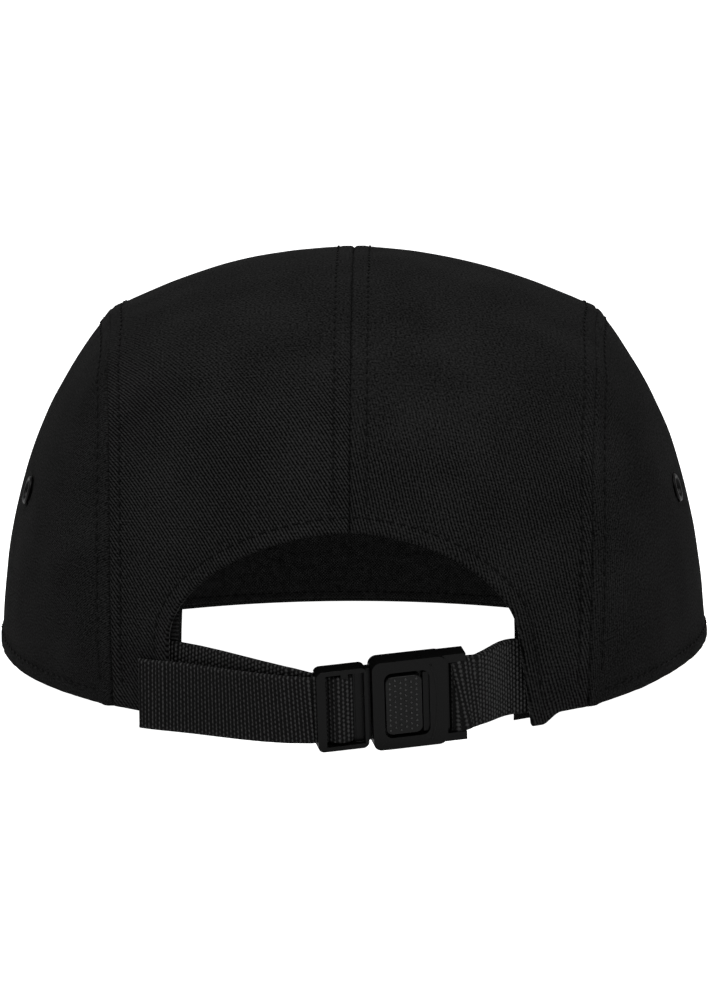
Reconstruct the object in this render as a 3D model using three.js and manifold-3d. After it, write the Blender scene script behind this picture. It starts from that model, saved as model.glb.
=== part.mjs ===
// A five-panel cap with an arched back opening, closed by a webbing strap and a front-release buckle.
// Millimetres, +Z up, brim towards -Y, strap towards +Y, the wearer's left at +X. The cap rests on
// z = 0 and its origin is the bottom centre of its box.
import * as THREE from 'three';
import { mergeVertices } from 'three/addons/utils/BufferGeometryUtils.js';
import Module from 'manifold-3d';

const wasm = await Module();
wasm.setup();

// Driving sizes of the crown
const rimHalfWidth = 94.8;
const rimHalfLength = 98;
const crownHeight = 117.5;
const cloth = 1.4;
const clearance = 0.3;
const cornerDroop = 2.5;
const droopReach = 2;
const droopFade = 5;

// Driving sizes of the arched opening, seen from behind
const archTop = 54;
const archSpring = 26;
const archHalfLeft = 46;
const archHalfRight = 43;
const archFlareRight = 3.8;
const archPower = 1.8;

// Driving sizes of the sweatband
const bandHeight = 30;
const bandThickness = 1;
const bandHem = 1;
const bandPastLeft = 2.6;
const bandPastRight = 0.5;
const bandFullTurn = 14.5;
const bandFadeTurn = 20;

// Driving sizes of the brim
const brimHalfWidth = 88;
const brimLength = 66;
const brimThickness = 3.2;
const brimCornerTurn = 51;
const brimDrop = 0.5;

// Driving sizes of the webbing
const webbingWidth = 17.5;
const webbingThickness = 1.2;
const webbingPlay = 0.9;
const tailReach = 6.9;
const hiddenReach = 12;
const tailHeight = 11.3;
const adjustHeight = 15.8;
const loopHeight = 15;
const loopStep = 1.6;
const layerGap = 0.4;
const turnInset = 0.2;
const pastEdge = 1;
const exitReach = 3;
const chordShare = 0.55;

// Driving sizes and place of the buckle
const buckleX = -10.3;
const buckleY = 99.3;
const buckleYaw = 13;
const buckleRoll = 1.5;
const buckleLean = 13;
const buckleSplit = 1;
const frameLength = 13.1;
const frameDepth = 4.6;
const frameCorner = 1.6;
const railHeight = 1.2;
const lockBarWidth = 2.3;
const lockBarDepth = 1.5;
const webBarWidth = 2.1;
const webBarDepth = 1.4;
const webBarInset = 5.6;
const linkBarWidth = 3.1;
const linkRimWidth = 1;
const linkRimDepth = 1.7;
const housingBody = 19.1;
const housingLips = 5.1;
const lipInset = 0.95;
const housingHeight = 23.8;
const housingDepth = 5.6;
const housingCorner = 2.2;
const lipDepth = 3.7;
const loopBarWidth = 1.8;
const loopBarDepth = 1.4;
const recessInset = 3;
const recessLength = 11.6;
const recessHeight = 17.6;
const recessDepth = 2.2;
const recessCorner = 2;
const buttonProud = 0.3;
const buttonLength = 9.3;
const buttonHeight = 15.6;
const tongueReach = 11;
const tongueHeight = 11;
const tongueDepth = 1.4;
const tongueInset = 0.9;

// Driving sizes of the eyelets
const eyeletAlong = 0.63;
const eyeletUp = 0.46;
const eyeletRadius = 3.75;
const eyeletBore = 2.5;
const eyeletNeck = 3.1;
const eyeletFlange = 0.5;
const eyeletLedge = 0.4;
const washerRadius = 4.4;
const meshDepth = 0.4;
const meshHole = 0.33;
const meshPitch = 0.88;

// Facets of the sheets
const alongSteps = 26;
const crossSeamStep = 10;
const stripSteps = 6;
const sideSteps = 7;
const bandSteps = 52;
const brimSteps = { across: 24, out: 6 };
const archSteps = 14;

// The crown from front to back: its middle line and its side seam, as shares of the rim's half width,
// the rim's half length and the crown's height
const crownRows = [
  { middleY: -1.0, middleZ: 0.052, seamX: 0.649, seamY: -0.761, seamZ: 0.053 },
  { middleY: -1.015, middleZ: 0.246, seamX: 0.66, seamY: -0.791, seamZ: 0.239 },
  { middleY: -0.99, middleZ: 0.451, seamX: 0.67, seamY: -0.781, seamZ: 0.426 },
  { middleY: -0.918, middleZ: 0.647, seamX: 0.681, seamY: -0.719, seamZ: 0.595 },
  { middleY: -0.776, middleZ: 0.809, seamX: 0.686, seamY: -0.592, seamZ: 0.732 },
  { middleY: -0.551, middleZ: 0.919, seamX: 0.687, seamY: -0.398, seamZ: 0.813 },
  { middleY: -0.265, middleZ: 0.979, seamX: 0.687, seamY: -0.173, seamZ: 0.849 },
  { middleY: 0.041, middleZ: 1.0, seamX: 0.687, seamY: 0.061, seamZ: 0.859 },
  { middleY: 0.347, middleZ: 0.97, seamX: 0.673, seamY: 0.296, seamZ: 0.838 },
  { middleY: 0.622, middleZ: 0.872, seamX: 0.668, seamY: 0.5, seamZ: 0.766 },
  { middleY: 0.827, middleZ: 0.703, seamX: 0.657, seamY: 0.648, seamZ: 0.643 },
  { middleY: 0.939, middleZ: 0.485, seamX: 0.651, seamY: 0.735, seamZ: 0.469 },
  { middleY: 0.99, middleZ: 0.246, seamX: 0.647, seamY: 0.77, seamZ: 0.246 },
  { middleY: 1.01, middleZ: 0.042, seamX: 0.64, seamY: 0.765, seamZ: 0.056 },
];

// Heights of the side panels' rims, front to back at even steps, as shares of the crown's height
const sideRims = {
  left: [0.053, 0.084, 0.103, 0.075, 0.056],
  right: [0.053, 0.088, 0.114, 0.094, 0.056],
};

// How far a side panel swells out and up from the straight line between rim and seam, as shares of it
const sideSwell = { out: 0.087, up: 0.039 };

// The brim's outer edge from its middle to its corner: sideways as a share of the brim's half width,
// forward of the rim's front as a share of its length, and the height of its underside as a share of
// the crown's height; where that comes out below the table, the brim lies flat on it
const brimRows = [
  { side: 0, forward: 1, height: 0.017 },
  { side: 0.38, forward: 0.95, height: 0.014 },
  { side: 0.69, forward: 0.78, height: 0.002 },
  { side: 0.905, forward: 0.47, height: -0.02 },
  { side: 0.985, forward: 0.04, height: -0.012 },
  { side: 0.9, forward: -0.5, height: 0.06 },
];

const vector = (x, y, z) => new THREE.Vector3(x, y, z);
const between = (a, b, share) => a * (1 - share) + b * share;
const smooth = (share) => THREE.MathUtils.smoothstep(share, 0, 1);
const radians = THREE.MathUtils.degToRad;
const evenly = (count) => Array.from({ length: count + 1 }, (_, i) => i / count);

// An open curve through points at even steps
const curveThrough = (points) => new THREE.CatmullRomCurve3(points, false, 'catmullrom', 0.5);

const middleLine = curveThrough(
  crownRows.map((row) => vector(0, row.middleY * rimHalfLength, row.middleZ * crownHeight)),
);
const seamLine = curveThrough(
  crownRows.map((row) =>
    vector(row.seamX * rimHalfWidth, row.seamY * rimHalfLength, row.seamZ * crownHeight),
  ),
);
const rimLine = (heights) => curveThrough(heights.map((height) => vector(0, 0, height * crownHeight)));
const rimLines = { left: rimLine(sideRims.left), right: rimLine(sideRims.right) };

// A point of the strip between the side seams, from the front rim (s = 0) over the top to the back rim
// (s = 1), and from the right seam (across = -1) to the left one (across = 1)
function stripPoint(s, across) {
  const middle = middleLine.getPoint(s);
  const seam = seamLine.getPoint(s);
  const bend = across * across;
  const point = vector(
    seam.x * across,
    between(middle.y, seam.y, bend),
    between(middle.z, seam.z, bend),
  );
  // The right leg's lower corner hangs below the rim
  const pastLeg = -point.x - archHalfRight - archFlareRight - droopReach;
  const rows = crownRows.length - 1;
  if (across < 0) point.z -= cornerDroop * smooth(1 - pastLeg / droopFade) * smooth((s - 1) * rows + 1);
  return point;
}

// A point of a side panel's rim, from its front seam end (s = 0) to its back one (s = 1); side is 1 on
// the left and -1 on the right
function sideRimPoint(s, side) {
  const front = seamLine.getPoint(0);
  const back = seamLine.getPoint(1);
  const frontTurn = -Math.acos(front.x / rimHalfWidth);
  const backTurn = Math.acos(back.x / rimHalfWidth);
  const turn = between(frontTurn, backTurn, s);
  const frontShift = front.y - rimHalfLength * Math.sin(frontTurn);
  const backShift = back.y - rimHalfLength * Math.sin(backTurn);
  return vector(
    side * rimHalfWidth * Math.cos(turn),
    rimHalfLength * Math.sin(turn) + between(frontShift, backShift, s),
    rimLines[side > 0 ? 'left' : 'right'].getPoint(s).z,
  );
}

// A point of a side panel, from front to back (s) and from the rim (up = 0) to the seam (up = 1)
function sidePoint(s, up, side) {
  const rim = sideRimPoint(s, side);
  const seam = seamLine.getPoint(s).multiply(vector(side, 1, 1));
  const rise = seam.clone().sub(rim);
  const length = rise.length();
  rise.normalize();
  const outward = vector(rim.x / rimHalfWidth ** 2, rim.y / rimHalfLength ** 2, 0);
  outward.addScaledVector(rise, -outward.dot(rise)).normalize();
  const control = rim.clone().lerp(seam, 0.5);
  control.addScaledVector(outward, 2 * sideSwell.out * length);
  control.addScaledVector(rise, 2 * sideSwell.up * length);
  const shares = [(1 - up) ** 2, 2 * up * (1 - up), up ** 2];
  return [rim, control, seam].reduce(
    (sum, point, i) => sum.addScaledVector(point, shares[i]),
    vector(0, 0, 0),
  );
}

const placeKey = (point) => point.toArray().map((value) => Math.round(value * 1000)).join(' ');

// A sheet of triangles through a grid of points, facing the side from which its columns and then its
// rows turn anticlockwise; equal points become one
function gridSheet(rowShares, columnShares, pointAt) {
  const points = [];
  const known = new Map();
  const index = rowShares.map((row) =>
    columnShares.map((column) => {
      const point = pointAt(row, column);
      const key = placeKey(point);
      if (!known.has(key)) known.set(key, points.push(point) - 1);
      return known.get(key);
    }),
  );
  const triangles = [];
  for (let i = 0; i + 1 < rowShares.length; i += 1) {
    for (let j = 0; j + 1 < columnShares.length; j += 1) {
      triangles.push([index[i][j], index[i][j + 1], index[i + 1][j + 1]]);
      triangles.push([index[i][j], index[i + 1][j + 1], index[i + 1][j]]);
    }
  }
  return { points, triangles: triangles.filter(([a, b, c]) => a !== b && b !== c && c !== a) };
}

// The normal at each place of a set of sheets that meet along their edges, so that neighbours share it
function sharedNormals(sheets) {
  const normals = new Map();
  for (const { points, triangles } of sheets) {
    for (const triangle of triangles) {
      const [a, b, c] = triangle.map((i) => points[i]);
      const face = b.clone().sub(a).cross(c.clone().sub(a));
      for (const key of [a, b, c].map(placeKey)) {
        normals.set(key, (normals.get(key) ?? vector(0, 0, 0)).add(face));
      }
    }
  }
  normals.forEach((normal) => normal.normalize());
  return normals;
}

function meshGeometry(points, triangles) {
  const geometry = new THREE.BufferGeometry().setFromPoints(points);
  return geometry.setIndex(triangles.flat());
}

// A closed body with the sheet as its outside, a wall of the given thickness behind it, and all its
// edges drawn in by the same distance
function thickened(sheet, normals, thickness, drawIn) {
  const { points, triangles } = sheet;
  const normalAt = (i) => normals.get(placeKey(points[i]));
  const directed = new Set(triangles.flatMap(([a, b, c]) => [`${a} ${b}`, `${b} ${c}`, `${c} ${a}`]));
  const edges = triangles
    .flatMap(([a, b, c]) => [[a, b], [b, c], [c, a]])
    .filter(([a, b]) => !directed.has(`${b} ${a}`));
  const inwards = new Map();
  for (const [a, b] of edges) {
    const direction = points[b].clone().sub(points[a]).normalize();
    for (const i of [a, b]) {
      const inward = normalAt(i).clone().cross(direction).normalize();
      inwards.set(i, [...(inwards.get(i) ?? []), inward]);
    }
  }
  const outer = points.map((point, i) => {
    if (!inwards.has(i)) return point.clone();
    const [first, second] = inwards.get(i);
    const share = drawIn / (1 + first.dot(second));
    return point.clone().addScaledVector(first, share).addScaledVector(second, share);
  });
  const inner = outer.map((point, i) => point.clone().addScaledVector(normalAt(i), -thickness));
  const behind = (i) => i + points.length;
  // Neighbours split their facing walls along the same diagonal
  const walls = edges.flatMap(([a, b]) =>
    placeKey(points[a]) < placeKey(points[b])
      ? [[b, a, behind(a)], [b, behind(a), behind(b)]]
      : [[b, a, behind(b)], [a, behind(a), behind(b)]],
  );
  const back = triangles.map(([a, b, c]) => [behind(c), behind(b), behind(a)]);
  return meshGeometry([...outer, ...inner], [...triangles, ...back, ...walls]);
}

function solidOf(geometry) {
  const bare = geometry.clone();
  bare.deleteAttribute('normal');
  bare.deleteAttribute('uv');
  const merged = mergeVertices(bare, 1e-4);
  return new wasm.Manifold(
    new wasm.Mesh({
      numProp: 3,
      vertProperties: new Float32Array(merged.attributes.position.array),
      triVerts: new Uint32Array(merged.index.array),
    }),
  );
}

function geometryOf(solid) {
  const { vertProperties, triVerts } = solid.getMesh();
  const geometry = new THREE.BufferGeometry();
  geometry.setAttribute('position', new THREE.BufferAttribute(vertProperties, 3));
  return geometry.setIndex(new THREE.BufferAttribute(triVerts, 1));
}

const joined = (geometries) => geometryOf(geometries.map(solidOf).reduce((a, b) => a.add(b)));
const cut = (geometry, tools) =>
  geometryOf(tools.map(solidOf).reduce((solid, tool) => solid.subtract(tool), solidOf(geometry)));

// The crown's outside: four sheets that meet at the seams
const alongShares = evenly(alongSteps);
const frontShares = alongShares.slice(0, crossSeamStep + 1);
const backShares = alongShares.slice(crossSeamStep);
const fromRight = evenly(stripSteps).map((share) => share - 1);
const fromMiddle = evenly(stripSteps);
const crownSheets = {
  front_panel: gridSheet(frontShares, [...fromRight, ...fromMiddle.slice(1)], stripPoint),
  back_panel_left: gridSheet(backShares, fromMiddle, stripPoint),
  back_panel_right: gridSheet(backShares, fromRight, stripPoint),
  side_panel_left: gridSheet(evenly(sideSteps), alongShares, (up, s) => sidePoint(s, up, 1)),
  side_panel_right: gridSheet(evenly(sideSteps), [...alongShares].reverse(), (up, s) =>
    sidePoint(s, up, -1),
  ),
};
const crownNormals = sharedNormals(Object.values(crownSheets));
const crownSurface = new THREE.Group();
for (const { points, triangles } of Object.values(crownSheets)) {
  const material = new THREE.MeshBasicMaterial({ side: THREE.DoubleSide });
  crownSurface.add(new THREE.Mesh(meshGeometry(points, triangles), material));
}

// Where a line from a point in a direction meets the crown's outside, and the normal there
function meetCrown(from, direction) {
  const [hit] = new THREE.Raycaster(from, direction.clone().normalize()).intersectObject(crownSurface);
  const normal = hit.face.normal.clone();
  return { place: hit.point, normal };
}

// The crown's outside at a height and a turn about the vertical axis, in degrees from the front
function crownAtTurn(turn, height) {
  const direction = vector(Math.sin(radians(turn)), -Math.cos(radians(turn)), 0);
  return meetCrown(vector(0, 0, height), direction);
}

// The back of the crown's outside at a sideways place and a height
const crownBack = (x, height) => meetCrown(vector(x, 0, height), vector(0, 1, 0));

// The rim at a turn in degrees from the front, positive to the left
function rimAtTurn(turn) {
  const side = Math.sign(turn) || 1;
  const halfRim = (q) => {
    if (q < 1) return stripPoint(0, side * q);
    if (q < 2) return sideRimPoint(q - 1, side);
    return stripPoint(1, side * (3 - q));
  };
  let [low, high] = [0, 3];
  for (let i = 0; i < 30; i += 1) {
    const middle = (low + high) / 2;
    const point = halfRim(middle);
    if (Math.atan2(Math.abs(point.x), -point.y) < radians(Math.abs(turn))) low = middle;
    else high = middle;
  }
  return halfRim(low);
}

// The prism that cuts the arched opening, in the plane seen from behind and swept along Y
function archPrism() {
  const quarter = (halfWidth) => (share) => {
    const turn = (share * Math.PI) / 2;
    return new THREE.Vector2(
      halfWidth * Math.cos(turn) ** (2 / archPower),
      archSpring + (archTop - archSpring) * Math.sin(turn) ** (2 / archPower),
    );
  };
  const left = evenly(archSteps).map(quarter(archHalfLeft));
  const right = evenly(archSteps).map(quarter(-archHalfRight)).reverse().slice(1);
  const below = -archSpring;
  const flareBelow = (archFlareRight * (archSpring - below)) / archSpring;
  const outline = [
    new THREE.Vector2(archHalfLeft, below),
    ...left,
    ...right,
    new THREE.Vector2(-archHalfRight - flareBelow, below),
  ];
  const depth = rimHalfLength;
  const prism = new THREE.ExtrudeGeometry(new THREE.Shape(outline), { depth, bevelEnabled: false });
  return prism.rotateX(Math.PI / 2).translate(0, rimHalfLength / 4 + depth, 0);
}

// Where the eyelets sit on the side panels, and the turn of each from upright
function eyeletSeat(side) {
  const middle = sidePoint(eyeletAlong, eyeletUp, side);
  const step = 0.01;
  const forward = sidePoint(eyeletAlong + step, eyeletUp, side).sub(middle);
  const upward = sidePoint(eyeletAlong, eyeletUp + step, side).sub(middle);
  const outward = forward.cross(upward).multiplyScalar(side).normalize();
  const { place } = meetCrown(middle.clone().addScaledVector(outward, -eyeletRadius), outward);
  return { place, turn: new THREE.Quaternion().setFromUnitVectors(vector(0, 0, 1), outward) };
}

const cylinder = (radius, length, sides) =>
  new THREE.CylinderGeometry(radius, radius, length, sides).rotateX(Math.PI / 2);

function sidePanel(name, side) {
  const wall = thickened(crownSheets[name], crownNormals, cloth, clearance / 2);
  const { place, turn } = eyeletSeat(side);
  const hole = cylinder(eyeletNeck + clearance, cloth * 6, 20);
  return cut(wall, [hole.applyQuaternion(turn).translate(...place.toArray())]);
}

// The metal ring that clamps the cloth, turned about its axis: a rolled front flange, a neck through
// the cloth, a washer behind it and a ledge that holds the mesh
function eyeletRing() {
  const seatGap = clearance * 1.5;
  const front = seatGap + eyeletFlange;
  const behind = -cloth - seatGap;
  const roll = eyeletFlange / 2;
  const outline = [
    [eyeletBore, behind],
    [eyeletBore, front - roll],
    [eyeletBore + roll, front],
    [eyeletRadius - roll, front],
    [eyeletRadius, front - roll],
    [eyeletRadius, seatGap],
    [eyeletNeck, seatGap],
    [eyeletNeck, behind],
    [washerRadius, behind],
    [washerRadius, behind - eyeletFlange],
    [eyeletBore - eyeletLedge, behind - eyeletFlange],
    [eyeletBore - eyeletLedge, behind],
    [eyeletBore, behind],
  ];
  const points = outline.map(([radius, height]) => new THREE.Vector2(radius, height)).reverse();
  return new THREE.LatheGeometry(points, 24).rotateX(Math.PI / 2);
}

// The pierced disc inside a ring, lying on the ring's ledge
function eyeletMesh() {
  const radius = eyeletBore - clearance;
  const disc = new THREE.Shape().absarc(0, 0, radius, 0, Math.PI * 2);
  const reach = Math.ceil(radius / meshPitch);
  for (let row = -reach; row <= reach; row += 1) {
    for (let column = -reach; column <= reach; column += 1) {
      const x = (column + row / 2) * meshPitch;
      const y = (row * meshPitch * Math.sqrt(3)) / 2;
      const inside = Math.hypot(x, y) + meshHole + clearance / 2 < radius;
      if (inside) disc.holes.push(new THREE.Path().absarc(x, y, meshHole, 0, Math.PI * 2, true));
    }
  }
  const options = { depth: meshDepth, bevelEnabled: false, curveSegments: 6 };
  return new THREE.ExtrudeGeometry(disc, options).translate(0, 0, -cloth);
}

// A wall inside the crown that keeps off it by its clearance, and by the webbing's layers near its ends
function sweatband() {
  const layer = webbingThickness + clearance;
  const keptOff = cloth + clearance * 3;
  const turnAt = (x, inset) => {
    const { place, normal } = crownBack(x, archSpring);
    const y = place.y + normal.y * -inset;
    return 180 - THREE.MathUtils.radToDeg(Math.atan2(Math.abs(x), y));
  };
  const leftTurn = turnAt(archHalfLeft - bandPastLeft, keptOff + layer);
  const rightTurn = turnAt(bandPastRight - archHalfRight, keptOff + 2 * layer);
  const sheet = gridSheet([0, 0.5, 1], evenly(bandSteps), (up, share) => {
    const turn = between(-rightTurn, leftTurn, share);
    const left = smooth(1 + (bandFullTurn - leftTurn + turn) / bandFadeTurn);
    const right = smooth(1 + (bandFullTurn - rightTurn - turn) / bandFadeTurn);
    const { place, normal } = crownAtTurn(turn, rimAtTurn(turn).z + bandHem + up * bandHeight);
    return place.addScaledVector(normal, -keptOff - layer * left - 2 * layer * right);
  });
  return thickened(sheet, sharedNormals([sheet]), bandThickness, 0);
}

// The brim's underside as a sheet that faces down, with a vertical wall above it
function brim() {
  const rows = [...brimRows.slice(1).reverse(), ...brimRows];
  const middle = brimRows.length - 1;
  const edge = curveThrough(
    rows.map((row, i) =>
      vector(
        row.side * brimHalfWidth * (i < middle ? -1 : 1),
        -rimHalfLength - row.forward * brimLength,
        row.height * crownHeight,
      ),
    ),
  );
  const sheet = gridSheet(evenly(brimSteps.out), evenly(brimSteps.across), (out, share) => {
    const turn = between(-brimCornerTurn, brimCornerTurn, share);
    const under = rimAtTurn(turn).z - brimDrop;
    const { place, normal } = crownAtTurn(turn, under + brimThickness);
    const attached = place.addScaledVector(normal.setZ(0).normalize(), clearance * 2);
    const point = attached.setZ(under).lerp(edge.getPoint(share), out);
    return point.setZ(Math.max(point.z, 0));
  });
  const down = new Map(sheet.points.map((point) => [placeKey(point), vector(0, 0, -1)]));
  return thickened(sheet, down, brimThickness, 0);
}

const frameHalf = webbingWidth / 2 + webbingPlay;
const frameHeight = 2 * (frameHalf + railHeight);
const housingLength = housingBody + housingLips;
const buckleLength = frameLength + buckleSplit + housingLength;
const frameStart = -buckleLength / 2;
const housingStart = frameStart + frameLength + buckleSplit;
const webBarMiddle = frameStart + webBarInset + webBarWidth / 2;
const loopBarMiddle = housingStart + housingLength - loopBarWidth / 2 - clearance;

// A box by its start and end along the buckle (x), up it (y) and out of its face (z)
function block(x, y, z) {
  const box = new THREE.BoxGeometry(x[1] - x[0], y[1] - y[0], z[1] - z[0]);
  return box.translate((x[0] + x[1]) / 2, (y[0] + y[1]) / 2, (z[0] + z[1]) / 2);
}

// A plate with rounded corners, between two places along the buckle, about its middle height
function roundedPlate(x, height, corner, z) {
  const [left, right] = x;
  const half = height / 2;
  const shape = new THREE.Shape();
  shape.moveTo(left + corner, -half);
  shape.lineTo(right - corner, -half);
  shape.absarc(right - corner, -half + corner, corner, -Math.PI / 2, 0);
  shape.absarc(right - corner, half - corner, corner, 0, Math.PI / 2);
  shape.absarc(left + corner, half - corner, corner, Math.PI / 2, Math.PI);
  shape.absarc(left + corner, -half + corner, corner, Math.PI, Math.PI * 1.5);
  const options = { depth: z[1] - z[0], bevelEnabled: false, curveSegments: 4 };
  return new THREE.ExtrudeGeometry(shape, options).translate(0, 0, z[0]);
}

// The adjuster's frame: two rails, a lock bar over the webbing, the bar that it turns round, and a
// link bar with the tongue that the housing holds
function buckleAdjuster() {
  const [front, back] = [frameDepth / 2, -frameDepth / 2];
  const end = frameStart + frameLength;
  const plate = roundedPlate([frameStart, end], frameHeight, frameCorner, [back, front]);
  const window = [frameStart + lockBarWidth, end - linkBarWidth];
  const halfWindow = [-frameHalf, frameHalf];
  const barHalf = webBarWidth / 2;
  const frame = cut(plate, [
    block(window, halfWindow, [back - pastEdge, front + pastEdge]),
    block([frameStart - pastEdge, window[1]], halfWindow, [back - pastEdge, front - lockBarDepth]),
    block([window[0], end - linkRimWidth], halfWindow, [front - linkRimDepth, front + pastEdge]),
  ]);
  const bar = block(
    [webBarMiddle - barHalf, webBarMiddle + barHalf],
    [-frameHalf - railHeight / 2, frameHalf + railHeight / 2],
    [-webBarDepth / 2, webBarDepth / 2],
  );
  const tongue = block(
    [end - linkBarWidth / 2, housingStart + tongueReach],
    [-tongueHeight / 2, tongueHeight / 2],
    [-tongueInset - tongueDepth / 2, -tongueInset + tongueDepth / 2],
  );
  return joined([frame, bar, tongue]);
}

// The housing: a rounded body with a recess in its face and a slot for the tongue, and two lips with
// the bar that the fixed webbing turns round
function buckleHousing() {
  const front = housingDepth / 2;
  const bodyEnd = housingStart + housingBody;
  const end = housingStart + housingLength;
  const body = roundedPlate([housingStart, bodyEnd], housingHeight, housingCorner, [-front, front]);
  const lips = roundedPlate(
    [bodyEnd - housingCorner * 2, end],
    housingHeight - 2 * lipInset,
    frameCorner,
    [-lipDepth / 2, lipDepth / 2],
  );
  const recess = roundedPlate(
    [housingStart + recessInset, housingStart + recessInset + recessLength],
    recessHeight,
    recessCorner,
    [front - recessDepth, front + pastEdge],
  );
  const mouth = block([bodyEnd, end + pastEdge], [-frameHalf, frameHalf], [-front, front]);
  const shell = joined([body, cut(lips, [mouth])]);
  const slot = block(
    [housingStart - pastEdge, housingStart + tongueReach + clearance],
    [-tongueHeight / 2 - clearance, tongueHeight / 2 + clearance],
    [-tongueInset - tongueDepth / 2 - clearance, -tongueInset + tongueDepth / 2 + clearance],
  );
  const barHalf = loopBarWidth / 2;
  const bar = block(
    [loopBarMiddle - barHalf, loopBarMiddle + barHalf],
    [-housingHeight / 2 + lipInset * 1.5, housingHeight / 2 - lipInset * 1.5],
    [-loopBarDepth / 2, loopBarDepth / 2],
  );
  return joined([cut(shell, [recess, slot]), bar]);
}

// The release button, lying in the recess
function buckleButton() {
  const start = housingStart + recessInset + clearance;
  const floor = housingDepth / 2 - recessDepth + clearance;
  const faces = [floor, housingDepth / 2 + buttonProud];
  return roundedPlate([start, start + buttonLength], buttonHeight, recessCorner - clearance, faces);
}

// The buckle's own frame: x along it towards the wearer's right, y up it, z out of its face. It is
// turned with the strap and its lowest edge rests on the table.
const buckle = new THREE.Group();
const facing = new THREE.Matrix4().makeBasis(vector(-1, 0, 0), vector(0, 0, 1), vector(0, 1, 0));
const turned = new THREE.Euler(radians(buckleLean), radians(buckleYaw), radians(buckleRoll), 'XYZ');
buckle.quaternion.setFromRotationMatrix(facing);
buckle.quaternion.multiply(new THREE.Quaternion().setFromEuler(turned));
const buckleParts = {
  buckle_adjuster: buckleAdjuster(),
  buckle_housing: buckleHousing(),
  buckle_button: buckleButton(),
};
const lowest = Object.values(buckleParts).map((geometry) => {
  const box = new THREE.Box3().setFromObject(
    new THREE.Mesh(geometry.clone().applyQuaternion(buckle.quaternion)),
  );
  return box.min.z;
});
buckle.position.set(buckleX, buckleY, -Math.min(...lowest));
buckle.updateMatrixWorld(true);

const buckleUp = vector(0, 1, 0).applyQuaternion(buckle.quaternion);

// A station of webbing in the buckle's frame: its place there and the way its width runs
function atBuckle(x, z, y = 0) {
  return { place: buckle.localToWorld(vector(x, y, z)), up: buckleUp };
}

// A station of webbing on the crown's leg, at a depth in from the crown's outside
function atLeg(x, height, depth) {
  const [place, top] = [height, height + webbingWidth / 2].map((z) => {
    const met = crownBack(x, z);
    return met.place.addScaledVector(met.normal, -depth);
  });
  return { place, up: top.sub(place).normalize() };
}

// The direction from one station to another
const heading = (from, to) => to.place.clone().sub(from.place).normalize();

// Stations along a free stretch between two stations, which leaves and arrives between the given
// directions and the straight line
function freeStretch(start, leave, end, arrive, steps) {
  const pull = start.place.distanceTo(end.place) / 3;
  const straight = heading(start, end);
  const leaving = leave.clone().lerp(straight, chordShare);
  const arriving = arrive.clone().lerp(straight, chordShare);
  const curve = new THREE.CubicBezierCurve3(
    start.place,
    start.place.clone().addScaledVector(leaving, pull),
    end.place.clone().addScaledVector(arriving, -pull),
    end.place,
  );
  return evenly(steps)
    .slice(1, -1)
    .map((share) => ({
      place: curve.getPoint(share),
      up: start.up.clone().lerp(end.up, share).normalize(),
    }));
}

// A flat band with a section at each station, square to its run
function ribbon(stations) {
  const corners = [[1, 1], [1, -1], [-1, -1], [-1, 1]];
  const points = stations.flatMap(({ place, up }, i) => {
    const before = stations[Math.max(i - 1, 0)].place;
    const after = stations[Math.min(i + 1, stations.length - 1)].place;
    const run = after.clone().sub(before).normalize();
    const out = run.clone().cross(up).normalize();
    const across = out.clone().cross(run).normalize();
    return corners.map(([side, face]) =>
      place
        .clone()
        .addScaledVector(across, (side * webbingWidth) / 2)
        .addScaledVector(out, (face * webbingThickness) / 2),
    );
  });
  const triangles = [[0, 1, 2], [0, 2, 3]];
  for (let i = 0; i + 1 < stations.length; i += 1) {
    for (let j = 0; j < 4; j += 1) {
      const [a, b] = [i * 4 + j, i * 4 + ((j + 1) % 4)];
      triangles.push([a, b + 4, b], [a, a + 4, b + 4]);
    }
  }
  const last = stations.length * 4 - 4;
  triangles.push([last, last + 2, last + 1], [last, last + 3, last + 2]);
  return meshGeometry(points, triangles);
}

const legShares = evenly(3);
const outside = -(2 * clearance + webbingThickness / 2);
const firstInside = cloth + 2 * clearance + webbingThickness / 2;
const secondInside = firstInside + webbingThickness + clearance;
const layerOffset = (webbingThickness + layerGap) / 2;
const runRight = vector(1, 0, 0).applyQuaternion(buckle.quaternion);
const runLeft = runRight.clone().negate();

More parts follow.
